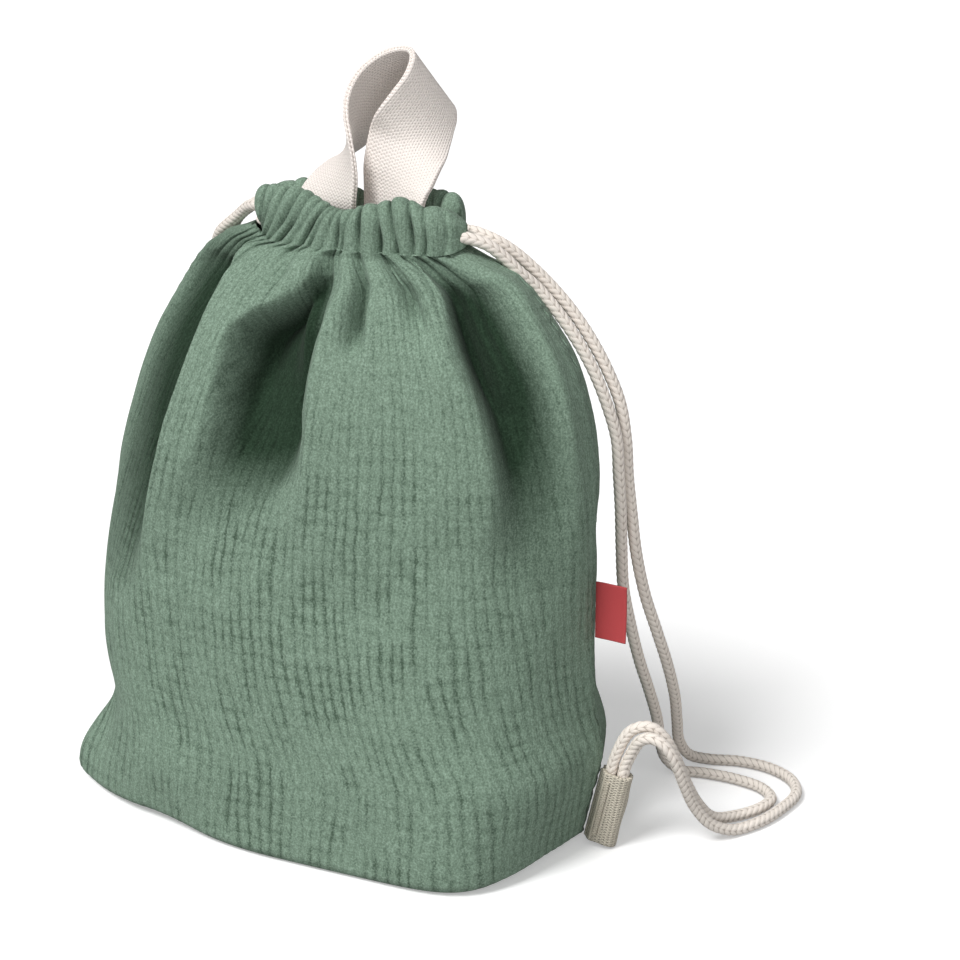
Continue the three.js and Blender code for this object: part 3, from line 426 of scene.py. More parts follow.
def smooth_line(points, step):
    """Points one step apart on a smooth curve through a list of places."""
    p = np.asarray(points, float)
    p = np.vstack([2 * p[0] - p[1], p, 2 * p[-1] - p[-2]])
    knots = np.concatenate([[0], np.cumsum(np.linalg.norm(np.diff(p, axis=0), axis=1) ** 0.5)])

    def mix(a, b, i, j, t):
        return (a * (knots[j] - t) + b * (t - knots[i])) / (knots[j] - knots[i])

    fine = []
    for k in range(1, len(p) - 2):
        t = np.linspace(knots[k], knots[k + 1], 40, endpoint=False)[:, None]
        a1 = mix(p[k - 1], p[k], k - 1, k, t)
        a2 = mix(p[k], p[k + 1], k, k + 1, t)
        a3 = mix(p[k + 1], p[k + 2], k + 1, k + 2, t)
        fine.append(mix(mix(a1, a2, k - 1, k + 1, t), mix(a2, a3, k, k + 2, t), k, k + 1, t))
    fine = np.vstack(fine + [p[-2]])
    run = run_of(fine)
    count = max(int(round(run[-1] / step)), 2)
    return along_line(fine, run, np.linspace(0, run[-1], count + 1))


# The filled bag

def between(column, at):
    return through(SECTIONS[:, AT], SECTIONS[:, column], at)


def outline(side, across, height, inset=0.0):
    """The middle of the cloth without folds; across runs from -1 at the left seam to 1 at the right."""
    across, height = np.broadcast_arrays(np.asarray(across, float), np.asarray(height, float))
    at = np.minimum(height / NECK_HEIGHT, 1.0)
    left, right = between(LEFT, at) - inset, between(RIGHT, at) - inset
    depth = between(TO_FRONT if side == FRONT else TO_BACK, at) - inset
    full = np.maximum(1 - np.abs(across) ** between(SQUARE, at), 0)
    split = smoothstep(NECK_HEIGHT - SPLIT_LENGTH, NECK_HEIGHT, height)
    edge = SEAM_GAP + (MOUTH_SPLIT - SEAM_GAP) * split
    swept = LEFT_SEAM_BACK * ((1 - across) / 2) ** SEAM_SWEEP * np.minimum(2 * (1 - at), 1)
    x = (right - left) / 2 + (right + left) / 2 * across
    y = side * (edge + depth * full ** between(ROUND, at)) + swept
    for place, half, back, _ in TUCKS[side]:
        y = y + back * np.exp(-((across - place) / half) ** 2 - (height / TUCK_HEIGHT) ** 2)
    place, half, share = EAR_ACROSS[side]
    ear = EAR_REACH * share * hump(across, place, half) * hump(height, EAR_HEIGHT, EAR_SPREAD)
    return np.stack([x - EAR_LEFT * ear, y - EAR_FORWARD * ear, height], axis=-1)


def outward(side, across, height):
    """Level direction away from the bag."""
    step = 0.01
    a = outline(side, np.maximum(across - step, -1), height)
    b = outline(side, np.minimum(across + step, 1), height)
    d = np.stack([b[..., 1] - a[..., 1], a[..., 0] - b[..., 0], np.zeros_like(a[..., 0])], axis=-1) * -side
    return d / np.linalg.norm(d, axis=-1, keepdims=True)


def seam(across, height):
    return (outline(FRONT, across, height) + outline(BACK, across, height)) / 2


def gather(side, across, level):
    """Gathers at one level, 0 at the stitch line to 1 at the rim: 0 in a valley, about 1 on a ridge."""
    low, middle, rim, share = PLEATS.T
    # each valley deepens and fades on its way up
    share = share * (0.85 + 0.22 * np.cos(2 * np.pi * (0.8 * level + 0.37 * np.arange(len(share)))))
    valleys = low * (1 - level) * (1 - 2 * level) + middle * 4 * level * (1 - level)
    valleys = valleys + rim * level * (2 * level - 1)
    if side == BACK:
        valleys, share = -valleys[::-1], share[::-1]
    wave = np.interp(across, valleys, np.arange(len(valleys)))
    # wide ridges stand taller than narrow ones
    gap = np.diff(valleys)[np.minimum(wave.astype(int), len(valleys) - 2)]
    tall = np.clip(0.45 + 4.5 * gap, 0.55, 1.25)
    deep = np.interp(wave, np.arange(len(share)), share)
    return tall * (1 - deep * (1 - np.abs(np.sin(np.pi * wave)) ** 0.55))


def grid_normals(points):
    du, dv = np.gradient(points, axis=1), np.gradient(points, axis=0)
    n = np.cross(du, dv)
    return n / np.maximum(np.linalg.norm(n, axis=-1, keepdims=True), 1e-9)


def panel_rows():
    """Height, inset and share of the way out from the base seam, row by row up one panel."""
    rows = [(FLOOR_CLOTH, BASE_ROUND, share) for share in np.linspace(0, 1, UNDER_ROWS + 1)[:-1]]
    for turn in np.radians(np.linspace(0, 90, EDGE_ROWS)):
        rows.append((FLOOR_CLOTH + BASE_ROUND * (1 - math.cos(turn)), BASE_ROUND * (1 - math.sin(turn)), 1.0))
    return rows + [(height, 0.0, 1.0) for height in WALL_HEIGHTS]


def at_height(tables, height):
    """The values at one height of each fold or pocket that reaches it."""
    for heights, *curves in tables:
        if min(heights) <= height <= max(heights):
            yield [through(heights, curve, height) for curve in curves]


def fold_lift(side, height, arc, edge):
    """How far the folds push one row of cloth out, and the shade painted into them; edge maps places across
    to lengths.
    """
    lift, shade = np.zeros_like(arc), np.zeros_like(arc)
    for place, depth, to_left, to_right in at_height(FOLDS[side], height):
        off = arc - np.interp(place, *edge)
        lift += depth * hump(off, 0, np.where(off < 0, to_left, to_right))
    # painted shade in the dents of the folds
    shade += 0.6 * smoothstep(1, 12, -lift)
    for dark, *table in POCKETS[side]:
        for left, right, deep_left, deep_right, wall_left, wall_right in at_height([table], height):
            a, b = np.interp(left, *edge), np.interp(right, *edge)
            inside = smoothstep(-1, 1, (arc - a) / wall_left) * smoothstep(-1, 1, (b - arc) / wall_right)
            depth = np.interp(arc, [a, b], [deep_left, deep_right])
            lift += depth * inside
            # painted shade in each pocket, darker where the pocket is deeper
            shade += dark * inside * smoothstep(-5, 14, -depth)
    free = smoothstep(0, 9, np.minimum(arc, arc[-1] - arc))
    return lift * free, np.clip(shade, 0, 1)


def crinkle(u, v):
    """Crinkle on flat-cloth coordinates: how many creases lie across and along, and their strength."""
    wander = 1.5 * lumps(u, v, 12, 36, 1) + 2.5 * lumps(u, v, 41, 75, 2) + 0.8 * lumps(u, v, 5, 11, 3)
    phase = (u + 0.13 * v + wander) / (sizes().rib_spacing / MM)
    row = (v + 2.2 * lumps(u, v, 14, 12, 8) + 1.3 * lumps(u, v, 6, 9, 9)) / (sizes().row_spacing / MM)
    strength = 0.25 + 0.75 * smoothstep(-0.8, 0.8, lumps(u, v, 8, 15, 4) + 0.35 * lumps(u, v, 60, 50, 5))
    return phase, row, strength


def puffs(phase, strength):
    """Height of the cloth between its creases, in shares of the crease depth."""
    return strength * (np.abs(np.sin(np.pi * phase)) ** 0.5 - 0.7)


def panel_net(side, t):
    """Rows of one panel before its folds: points, directions out, fold lift and shade, and row lengths."""
    rows = []
    for height, inset, share in panel_rows():
        run = run_of(outline(side, CLOSE_PLACES, np.full_like(CLOSE_PLACES, height), inset))
        across = np.interp(t * run[-1], run, CLOSE_PLACES)
        level = np.full_like(across, height)
        row = outline(side, across, level, inset)
        row[:, 1] = seam(across, level)[:, 1] * (1 - share) + row[:, 1] * share
        for place, half, _, rise in TUCKS[side]:
            fade = np.exp(-((across - place) / half) ** 2 - height / TUCK_HEIGHT * 2)
            row[:, 2] += rise * share ** 2 * fade
        folds = fold_lift(side, height, t * run[-1], (CLOSE_PLACES, run))
        rows.append((row, outward(side, across, level), *folds, run[-1:]))
    return [np.array(part) for part in zip(*rows)]


def sew_edges(side, points, level, v, wall, t, runs):
    """Draws a panel's side edges to the puckered seam lines that both panels share."""
    for end, hand, from_edge in ((0, -1.0, t), (-1, 1.0, 1 - t)):
        edge = np.full(len(points), hand)
        line = outline(side, edge, np.maximum(level[:, end], FLOOR_CLOTH + BASE_ROUND))
        line[:, 1] = seam(edge, level[:, end])[:, 1]
        line[:, 0] += hand * 0.5 * np.sin(v[:, end] / 1.4 + 2 * np.sin(v[:, end] / 9.0))
        line[:, 0] += (points[:, end, 0] - line[:, 0]) * (1 - wall[:, end])
        line[:, 2] = points[:, end, 2]
        near = np.exp(-from_edge[None, :] * runs / SEAM_PULL)
        points = points + (line - points[:, end])[:, None, :] * near[..., None]
    return points


def panel_surface(side):
    """Outer face of one panel, row by row from the base seam: points, flat-cloth coordinates, creases and
    painted shade.
    """
    size = sizes()
    t = np.linspace(0, 1, PANEL_COLUMNS + 1)
    points, out, lift, shade, runs = panel_net(side, t)
    level = points[..., 2]
    drop = np.maximum(NECK_HEIGHT - level, 0)
    from_seam = np.minimum(t, 1 - t)[None, :] * runs
    u = t[None, :] * runs.max() + CLOTH_START[side] + np.zeros_like(level)
    steps = np.linalg.norm(np.diff(points, axis=0), axis=-1)
    v = np.concatenate([[0], np.cumsum(np.median(steps, axis=1))])[:, None] + np.zeros_like(level)
    # the cloth hangs from the foot of the casing before it spreads
    foot = (CASING_FOOT - FLOOR_CLOTH) * np.exp(-drop / 7.0) * smoothstep(0, FOOT_EASE, from_seam)
    points = points + out * foot[..., None]
    # at the sides it climbs behind the ends of the casing
    climb = 3.5 * smoothstep(22, 6, t * runs) + 2.0 * smoothstep(10, 2, (1 - t) * runs)
    points[..., 2] += climb * np.exp(-drop / 4.0)
    # gathers run down from the stitch line and die out at their own lengths
    neck = run_of(outline(side, CLOSE_PLACES, np.full_like(CLOSE_PLACES, NECK_HEIGHT)))
    gathers = gather(side, np.interp(t, neck / neck[-1], CLOSE_PLACES), 0.0)
    reach = 10 + 9 * (1 + lumps(t * 100, np.zeros_like(t), 7, 9, 11))
    pleats = size.pleat_depth / MM * np.exp(-drop / reach[None, :]) * (gathers[None, :] - GATHER_MIDDLE)
    stuffing = 0.9 * lumps(u, v, 42, 38, 6) + 0.5 * lumps(u, v, 17, 21, 7)
    stuffing = stuffing * smoothstep(0, 14, drop) * smoothstep(0, 12, from_seam)
    groove = -1.2 * hump(from_seam, 0, 3.0)
    wall = smoothstep(FLOOR_CLOTH, FLOOR_CLOTH + BASE_ROUND, level)
    rise = FLOOR_CLOTH + lift * wall + (stuffing + groove) * wall
    points = points + grid_normals(points) * rise[..., None] + out * pleats[..., None]
    # the crinkle is drawn smooth near the mouth and beside the right seam
    phase, row, strength = crinkle(u, v)
    strength = strength * (0.45 + 0.55 * smoothstep(40, 150, drop)) * (1 - 0.3 * smoothstep(0.74, 0.84, t))
    ribs = size.rib_depth / MM * puffs(phase, strength) * wall
    points = points + grid_normals(points) * ribs[..., None]
    points = sew_edges(side, points, level, v, wall, t, runs)
    points[..., 2] = np.maximum(points[..., 2], 0.0)
    # painted shade: from the folds and pockets, and in the valleys of the gathers under the casing
    painted_shade = np.clip(shade * wall + 0.35 * np.clip(-pleats, 0, 1), 0, 1)
    return points, cloth_map(u, v), dict(phase=phase, row=row, strength=strength, painted_shade=painted_shade)


def in_casing(side, across, out, up):
    """A place in a casing, off its middle line outwards and upwards."""
    across = np.asarray(across, float)
    height = np.full_like(across, NECK_HEIGHT)
    place = outline(side, across, height) + outward(side, across, height) * np.asarray(out)[..., None]
    place[..., 2] = NECK_HEIGHT + CASING_HEIGHT / 2 + up
    return place


def casing_surface(side):
    """Outer face of a gathered casing: rings along it, each from the stitch line over the rim and back."""
    front = side == FRONT
    along = np.linspace(-1, 1, CASING_COLUMNS + 1)[:, None]
    climb = -np.cos(np.linspace(0, np.pi, CASING_AROUND // 2 + 1))
    up = np.concatenate([climb, climb[-2::-1], climb[:1]])[None, :]
    out = np.concatenate([np.ones(CASING_AROUND // 2 + 1), -np.ones(CASING_AROUND // 2), [1]])[None, :]
    # the ends are drawn in, and the front's left end slants
    left_in, right_in = (0.15 - 0.05 * up, 0.0) if front else (0.06, 0.10)
    drawn_in = smoothstep(0.2, 1, np.abs(along)) * np.where(along < 0, left_in, right_in)
    across = along * (1 - drawn_in) + np.zeros_like(up)
    foot = CASING_FOOT / (CASING_THICK / 2) - 1
    lower = np.where(out > 0, 1 + foot * up ** 2, 0.2 + 0.8 * (1 - np.abs(up) ** 2.2))
    full = np.where(up > 0, np.sqrt(np.maximum(1 - up ** 2, 0)), lower)
    ridge = np.stack([gather(side, across[:, k], (s + 1) / 2) for k, s in enumerate(up[0])], axis=1)
    end = 1 - np.abs(along)
    closed = np.sqrt(np.clip(end / 0.14, 0, 1))
    pinch = 0.5 if front else 0.15
    swell = sizes().pleat_depth / MM * (ridge - GATHER_MIDDLE)
    swell = swell * smoothstep(0, 0.1, end) * np.where(out > 0, 1.0, 0.6)
    thick = CASING_THICK / 2 * full * (pinch + (1 - pinch) * closed)
    thick = (thick + swell * (0.3 + 0.7 * np.minimum(full, 1))) * out
    wave = through(*RIM_WAVE, across if front else -0.9 * across) * (1.0 if front else 0.6)
    tall = CASING_HEIGHT / 2 * up * (0.62 + 0.38 * closed) + (0.4 * swell + wave) * np.maximum(up, 0) ** 1.3
    points = in_casing(side, across, thick, tall)
    # the ends turn in towards each other and cover the cord between the casings
    turn = smoothstep(0.78, 1, np.abs(along))
    points[..., 0] += turn * np.where(along > 0, 2.0 if front else 0.0, -1.0)
    points[..., 1] -= turn * side * (4.5 if front else 2.5)
    around = np.arange(up.shape[1])[None, :] * (4 * CASING_HEIGHT / up.shape[1] / 1.6)
    u, v = across * 190 + 600 * side, 400 + around + np.zeros_like(across)
    phase, row, strength = crinkle(u, v)
    # painted shade in the valleys between the gathers
    painted_shade = np.clip(1.2 * (0.78 - ridge), 0, 1)
    return points, cloth_map(u, v), dict(phase=phase, row=row, strength=0.3 * strength, painted_shade=painted_shade)


def tab_frame(hand):
    """Origin and directions of a cord tab: out of the seam, across its thickness, up along the seam."""
    width = sizes().webbing_width / MM
    turn = math.radians(TAB_TURN_LEFT) if hand < 0 else 0.0
    shares = np.linspace(0, 1, 5)
    line = seam(np.full_like(shares, hand), TAB_BOTTOM + shares * width)
    up = (line[-1] - line[0]) / np.linalg.norm(line[-1] - line[0])
    out = np.array([hand * math.cos(turn), math.sin(turn), 0.0])
    out = out - up * out.dot(up)
    out /= np.linalg.norm(out)
    origin = line[0] + out * (((line - line[0]) @ out).max() + TAB_CLEAR)
    return origin, out, np.cross(up, out), up


def cord_seats():
    """Distances of the inner and outer cord from the seam inside a tab."""
    cord = sizes().cord / MM
    inner = TAB_FLARE + cord / 4
    return {FRONT: inner, BACK: inner + cord + CORD_PLAY}


def tail_level():
    """Y of the handle's sewn ends, against the inner face of the back casing."""
    low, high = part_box("handle_left_tail")
    return (low.y + high.y) / 2 / MM - SHIFT[1]


# Meshes

def to_metres(points):
    return (np.asarray(points, float) + SHIFT) * MM


def cloth_map(u, v):
    """Flat-cloth coordinates for a UV map, in mm."""
    return np.stack(np.broadcast_arrays(u, v), axis=-1)


def mesh_of(name, bm):
    """Writes a bmesh to a new mesh and frees it."""
    mesh = bpy.data.meshes.new(name)
    bm.to_mesh(mesh)
    bm.free()
    return mesh


def finish_piece(mesh, material, body, replaced):
    """Puts a finished mesh in the scene, on its body and in place of its CAD nodes."""
    piece = bpy.data.objects.new(mesh.name, mesh)
    bpy.context.scene.collection.objects.link(piece)
    mesh.materials.append(material)
    mesh.polygons.foreach_set("use_smooth", np.ones(len(mesh.polygons), bool))
    if body:
        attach(piece, body)
    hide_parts(*replaced)
    return piece


def grid_mesh(name, points, uv, closed=False, capped=False, **attributes):
    """A sheet or a tube from rows of points in mm; a tube's first and last columns are one line."""
    rows, columns = points.shape[0] - 1, points.shape[1] - 1
    bm = bmesh.new()
    map_layer = bm.loops.layers.uv.new("cloth")
    layers = {key: bm.verts.layers.float.new(key) for key in attributes}
    bmesh.ops.create_grid(bm, x_segments=columns, y_segments=rows, size=0.5)
    place = to_metres(points)
    spots = {}
    for vert in bm.verts:
        spots[vert] = (int(round((vert.co.y + 0.5) * rows)), int(round((vert.co.x + 0.5) * columns)))
    for face in bm.faces:
        for loop in face.loops:
            loop[map_layer].uv = uv[spots[loop.vert]]
    for vert, spot in spots.items():
        vert.co = place[spot]
        for key, layer in layers.items():
            vert[layer] = attributes[key][spot]
    if closed:
        bmesh.ops.remove_doubles(bm, verts=bm.verts, dist=1e-6)
    if capped:
        rim = [edge for edge in bm.edges if edge.is_boundary]
        bmesh.ops.holes_fill(bm, edges=rim, sides=0)
        bmesh.ops.recalc_face_normals(bm, faces=bm.faces)
    return mesh_of(name, bm)


def thicken(piece, thickness, offset):
    """Gives a sheet its thickness: inwards with an offset of -1, to both sides with 0."""
    solid = piece.modifiers.new("thickness", "SOLIDIFY")
    solid.thickness = thickness
    solid.offset = offset
    solid.use_even_offset = False
    solid.use_rim = True


def along_frames(line):
    """Two steady crossing directions square to a line, carried along it without twist."""
    tangent = np.gradient(line, axis=0)
    tangent /= np.linalg.norm(tangent, axis=1, keepdims=True)
    start = np.cross(tangent[0], [0.3, 0.5, 0.81])
    side = [start / np.linalg.norm(start)]
    for d in tangent[1:]:
        s = side[-1] - d * side[-1].dot(d)
        side.append(s / np.linalg.norm(s))
    side = np.array(side)
    return side, np.cross(tangent, side)


def tube_points(line, radius):
    """Rings of points around a line; radius has one value for each ring and place round it."""
    side, up = along_frames(line)
    angle = np.linspace(0, 2 * np.pi, radius.shape[1])
    ring = np.cos(angle)[None, :, None] * side[:, None, :] + np.sin(angle)[None, :, None] * up[:, None, :]
    return line[:, None, :] + ring * radius[..., None]


def braid(name, line, replaced):
    """A round braided cord along a line, with slanting stitches in four columns."""
    half, pitch = sizes().cord / MM / 2, sizes().braid_pitch / MM
    columns, per_column = 4, 9
    run = run_of(line)[:, None]
    turn = np.linspace(0, columns, columns * per_column + 1)[None, :]
    column = np.floor(turn).astype(int) % columns
    off = turn - np.floor(turn) - 0.5
    slant = np.where(column % 2 == 0, 1.0, -1.0) * off * 1.05
    yarn = np.abs(np.sin(np.pi * (run / pitch + slant))) ** 0.6
    height = yarn * (1 - 0.6 * (2 * np.abs(off)) ** 4)
    points = tube_points(line, half * (0.87 + 0.14 * height))
    mesh = grid_mesh(name, points, cloth_map(turn, run), closed=True, capped=True, braid=height)
    return finish_piece(mesh, material_once("braided cotton", cord_yarn), "bag", [replaced])


def bar_tack(name, thread, origin, wide, along, face, replaced):
    """A bar tack: one thread that runs to and fro across a short bar."""
    thick = sizes().thread / MM
    last = 2 * TACK_TURNS
    places = []
    for k in range(last + 1):
        place = origin + wide * (TACK_WIDTH * (k / last - 0.5))
        places.append(place + along * (TACK_HEIGHT * (0.5 if k % 2 else -0.5)) + face * thick * 0.5)
    line = smooth_line(places, 0.35)
    points = tube_points(line, np.full((len(line), TACK_SIDES + 1), thick / 2))
    uv = cloth_map(np.arange(TACK_SIDES + 1)[None, :], run_of(line)[:, None])
    mesh = grid_mesh(name, points, uv, closed=True, capped=True)
    finish_piece(mesh, thread, "bag", [replaced])


def doubled_band(width, thick):
    """Section of webbing folded double: places across and through it, with a groove between the layers."""
    half, ply = (width - thick / 2) / 2, thick / 2
    bend = np.radians(np.linspace(90, -90, 7))
    lobe = [(half + ply / 2 * math.cos(a), ply / 2 * math.sin(a)) for a in bend]
    edge = [(x, y + ply / 2) for x, y in lobe] + [(x, y - ply / 2) for x, y in lobe[1:]]
    face = [(x, ply) for x in np.linspace(-half, half, 25)]
    side = face + edge[1:-1]
    return np.array(side + [(-x, -y) for x, y in side] + side[:1])


# Materials

def material_once(name, build, *values):
    """The material of that name, built the first time it is asked for."""
    return bpy.data.materials.get(name) or build(name, *values)


def material_tree(name, **shader):
    """A new material and its Principled shader with plain values set on the shader's own sockets."""
    material = bpy.data.materials.new(name)
    material.use_nodes = True
    tree = material.node_tree
    surface = tree.nodes["Principled BSDF"]
    for key, value in shader.items():
        surface.inputs[key.replace("_", " ").title().replace("Ior", "IOR")].default_value = value
    return material, tree, surface


def add_node(tree, kind, inputs=(), **settings):
    """A node with its settings, and its inputs linked to sockets or set to values."""
    node = tree.nodes.new(kind)
    for key, value in settings.items():
        setattr(node, key, value)
    for key, value in dict(inputs).items():
        if isinstance(value, bpy.types.NodeSocket):
            tree.links.new(value, node.inputs[key])
        else:
            node.inputs[key].default_value = value
    return node


def maths(tree, operation, *values):
    return add_node(tree, "ShaderNodeMath", operation=operation, inputs=dict(enumerate(values))).outputs[0]


def remap(tree, value, low, high, at_low, at_high):
    """A number carried from one range to another and held inside it."""
    values = dict(enumerate((value, low, high, at_low, at_high)))
    return add_node(tree, "ShaderNodeMapRange", inputs=values).outputs[0]


def noise(tree, place, scale, detail, **more):
    inputs = {"Vector": place, "Scale": scale, "Detail": detail, **more}
    return add_node(tree, "ShaderNodeTexNoise", inputs=inputs).outputs[0]


def blend_colours(tree, factor, first, second):
    """A colour that goes from the first to the second with the factor."""
    node = add_node(tree, "ShaderNodeMix", data_type="RGBA", inputs={0: factor})
    for socket, value in ((node.inputs[6], first), (node.inputs[7], second)):
        if isinstance(value, bpy.types.NodeSocket):
            tree.links.new(value, socket)
        else:
            socket.default_value = (*value, 1.0)
    return node.outputs[2]


def dimmed(tint, share):
    return tuple(share * part for part in tint)


def bump(tree, surface, height, distance, strength):
    node = add_node(tree, "ShaderNodeBump",
                    inputs={"Height": height, "Distance": distance, "Strength": strength})
    tree.links.new(node.outputs[0], surface.inputs["Normal"])


def new_group(name, inputs, outputs):
    """A shader node group with number sockets: inputs with their defaults, and outputs."""
    group = bpy.data.node_groups.new(name, "ShaderNodeTree")
    for label, value in inputs.items():
        socket = group.interface.new_socket(label, in_out="INPUT", socket_type="NodeSocketFloat")
        socket.default_value = value
    for label in outputs:
        group.interface.new_socket(label, in_out="OUTPUT", socket_type="NodeSocketFloat")
    return group, group.nodes.new("NodeGroupInput"), group.nodes.new("NodeGroupOutput")


def use_group(tree, name, build, inputs):
    """The outputs of a node group in a material; the group is built the first time it is asked for."""
    node = tree.nodes.new("ShaderNodeGroup")
    node.node_tree = bpy.data.node_groups.get(name) or build(name)
    for key, value in inputs.items():
        node.inputs[key.title()].default_value = value
    return node.outputs


def fibre_group(name):
    """Fuzz of loose fibres: a mask of light specks and a fine height, on Object coordinates."""
    group, given, out = new_group(name, {"Scale": 900.0}, ["Specks", "Height"])
    place = add_node(group, "ShaderNodeTexCoord").outputs["Object"]
    fine = noise(group, place, given.outputs["Scale"], 3.0, Roughness=0.65)
    broad = noise(group, place, 120.0, 2.0)
    specks = maths(group, "MULTIPLY", remap(group, fine, 0.54, 0.74, 0.0, 1.0), broad)
    group.links.new(specks, out.inputs["Specks"])
    group.links.new(fine, out.inputs["Height"])
    return group


def weave_group(name):
    """Plain or twill weave on the piece's own UV map in mm: height of the yarns, 0 in the gaps."""
    group, given, out = new_group(
        name, {"Across": 1.0, "Along": 1.0, "Slant": 0.0, "Column": 6.0}, ["Height"])
    uv = add_node(group, "ShaderNodeUVMap", uv_map="cloth").outputs[0]
    u, v, _ = add_node(group, "ShaderNodeSeparateXYZ", inputs={0: uv}).outputs
    # the slant turns back in every other column, as in herringbone
    fold = maths(group, "PINGPONG", u, given.outputs["Column"])
    v = maths(group, "ADD", v, maths(group, "MULTIPLY", fold, given.outputs["Slant"]))

    def furrow(at, pitch):
        wave = maths(group, "SINE", maths(group, "DIVIDE", maths(group, "MULTIPLY", at, math.pi), pitch))
        return maths(group, "SUBTRACT", 1.0, maths(group, "ABSOLUTE", wave))

    gap = maths(group, "MULTIPLY", furrow(u, given.outputs["Across"]), furrow(v, given.outputs["Along"]))
    height = maths(group, "SUBTRACT", 1.0, maths(group, "POWER", gap, 0.6))
    group.links.new(height, out.inputs["Height"])
    return group


def fibres_on(tree, scale):
    return use_group(tree, "loose fibres", fibre_group, {"scale": scale})


def weave_on(tree, pattern):
    return use_group(tree, "weave", weave_group, pattern)["Height"]


def gauze(name):
    """Crinkled sage double gauze: mottled yarn with painted shade in its creases and hollows, and a few light
    fibres.
    """
    tint = colours()
    material, tree, surface = material_tree(name, roughness=0.95, sheen_weight=0.05, sheen_roughness=0.5,
                                            specular_ior_level=0.08)
    fibres = fibres_on(tree, 1100.0)
    phase, row, strength, painted_shade = (add_node(tree, "ShaderNodeAttribute", attribute_name=key).outputs["Fac"]
                                    for key in ("phase", "row", "strength", "painted_shade"))

    def crease(at, sharpness):
        ridge = maths(tree, "ABSOLUTE", maths(tree, "SINE", maths(tree, "MULTIPLY", at, math.pi)))
        return maths(tree, "POWER", maths(tree, "SUBTRACT", 1.0, ridge), sharpness)

    # painted shade along the crinkle creases; the same lines also make the bump
    line = maths(tree, "MULTIPLY_ADD", crease(row, 1.8), ROW_SHARE, crease(phase, 1.4))
    line = maths(tree, "MULTIPLY", maths(tree, "MINIMUM", line, 1.0), strength)
    flat = add_node(tree, "ShaderNodeUVMap", uv_map="cloth").outputs[0]
    drawn = add_node(tree, "ShaderNodeMapping", inputs={"Vector": flat, "Scale": (0.85, 0.20, 1.0)})
    grain = remap(tree, noise(tree, drawn.outputs[0], 1.0, 3.0), 0.30, 0.70, 0.30, 0.0)
    mottle = remap(tree, fibres["Height"], 0.38, 0.62, 0.46, 0.0)
    # how far the colour goes to the deep sage: painted crease shade plus random grain and mottle
    deep = maths(tree, "MULTIPLY_ADD", line, CREASE_SHADE, maths(tree, "ADD", grain, mottle))
    deep = maths(tree, "MINIMUM", deep, 1.0)
    yarns = tuple(tint.sage), tuple(tint.sage_mottle_and_crease_shade)
    # a lit and a dimmed copy of the yarn colours, mixed by the painted shade of the hollows
    dim = [tuple(part * share for part, share in zip(yarn, HOLLOW_LIGHT)) for yarn in yarns]
    lit, shaded = blend_colours(tree, deep, *yarns), blend_colours(tree, deep, *dim)
    cloth = blend_colours(tree, maths(tree, "MULTIPLY", painted_shade, HOLLOW_SHADE), lit, shaded)
    # fewer light fibres where the shade is painted
    specks = maths(tree, "MULTIPLY", fibres["Specks"], maths(tree, "MULTIPLY_ADD", painted_shade, -0.36, 0.40))
    cloth = blend_colours(tree, specks, cloth, tuple(tint.sage_fibre))
    tree.links.new(cloth, surface.inputs["Base Color"])
    height = maths(tree, "SUBTRACT", maths(tree, "MULTIPLY", fibres["Height"], 0.9), line)
    bump(tree, surface, maths(tree, "SUBTRACT", height, grain), 0.0006, 0.6)
    return material


def webbing_cloth(name, bright, pattern, relief):
    """Cotton webbing with its weave on the band's own map."""
    material, tree, surface = material_tree(name, roughness=0.94, sheen_weight=0.12, specular_ior_level=0.12)
    woven = weave_on(tree, pattern)
    fibres = fibres_on(tree, 1500.0)
    gap = remap(tree, woven, 0.50, 0.16, 0.0, 0.60)
    yarn = blend_colours(tree, gap, tuple(bright), tuple(colours().webbing_deep))
    yarn = blend_colours(tree, maths(tree, "MULTIPLY", fibres["Specks"], 0.25), yarn, WEBBING_FIBRE)
    tree.links.new(yarn, surface.inputs["Base Color"])
    height = maths(tree, "ADD", woven, maths(tree, "MULTIPLY", fibres["Height"], 0.25))
    bump(tree, surface, height, relief, 0.8)
    return material


def cord_yarn(name):
    """Braided cotton: darker between the yarns, with fine twisted fibres."""
    tint = colours()
    material, tree, surface = material_tree(name, roughness=0.86, sheen_weight=0.15, specular_ior_level=0.3)
    fibres = fibres_on(tree, 1400.0)
    raised = add_node(tree, "ShaderNodeAttribute", attribute_name="braid").outputs["Fac"]
    gap = remap(tree, raised, 0.52, 0.12, 0.0, 0.8)
    yarn = blend_colours(tree, gap, tuple(tint.cord), tuple(tint.cord_deep))
    yarn = blend_colours(tree, maths(tree, "MULTIPLY", fibres["Specks"], 0.4), yarn, CORD_FIBRE)
    tree.links.new(yarn, surface.inputs["Base Color"])
    bump(tree, surface, fibres["Height"], 0.0002, 0.5)
    return material


def plain_thread(name, tint):
    """Sewing thread of one colour, darker between its fibres."""
    material, tree, surface = material_tree(name, roughness=0.7, specular_ior_level=0.35)
    fibres = fibres_on(tree, 2600.0)
    shade = maths(tree, "MULTIPLY", fibres["Height"], 0.6)
    tree.links.new(blend_colours(tree, shade, tuple(tint), dimmed(tint, 0.6)), surface.inputs["Base Color"])
    bump(tree, surface, fibres["Height"], 0.0001, 0.6)
    return material


def label_weave(name):
    """Red satin label with fine weft ribs."""
    tint = tuple(colours().label)
    material, tree, surface = material_tree(name, roughness=0.55, sheen_weight=0.1, specular_ior_level=0.4)
    height = weave_on(tree, LABEL_WEAVE)
    fibres = fibres_on(tree, 1800.0)
    woven = blend_colours(tree, remap(tree, height, 0.7, 0.1, 0.0, 0.35), tint, dimmed(tint, 0.55))
    woven = blend_colours(tree, maths(tree, "MULTIPLY", fibres["Specks"], 0.2), woven, LABEL_FIBRE)
    tree.links.new(woven, surface.inputs["Base Color"])
    bump(tree, surface, height, 0.0002, 0.5)
    return material


# Stage

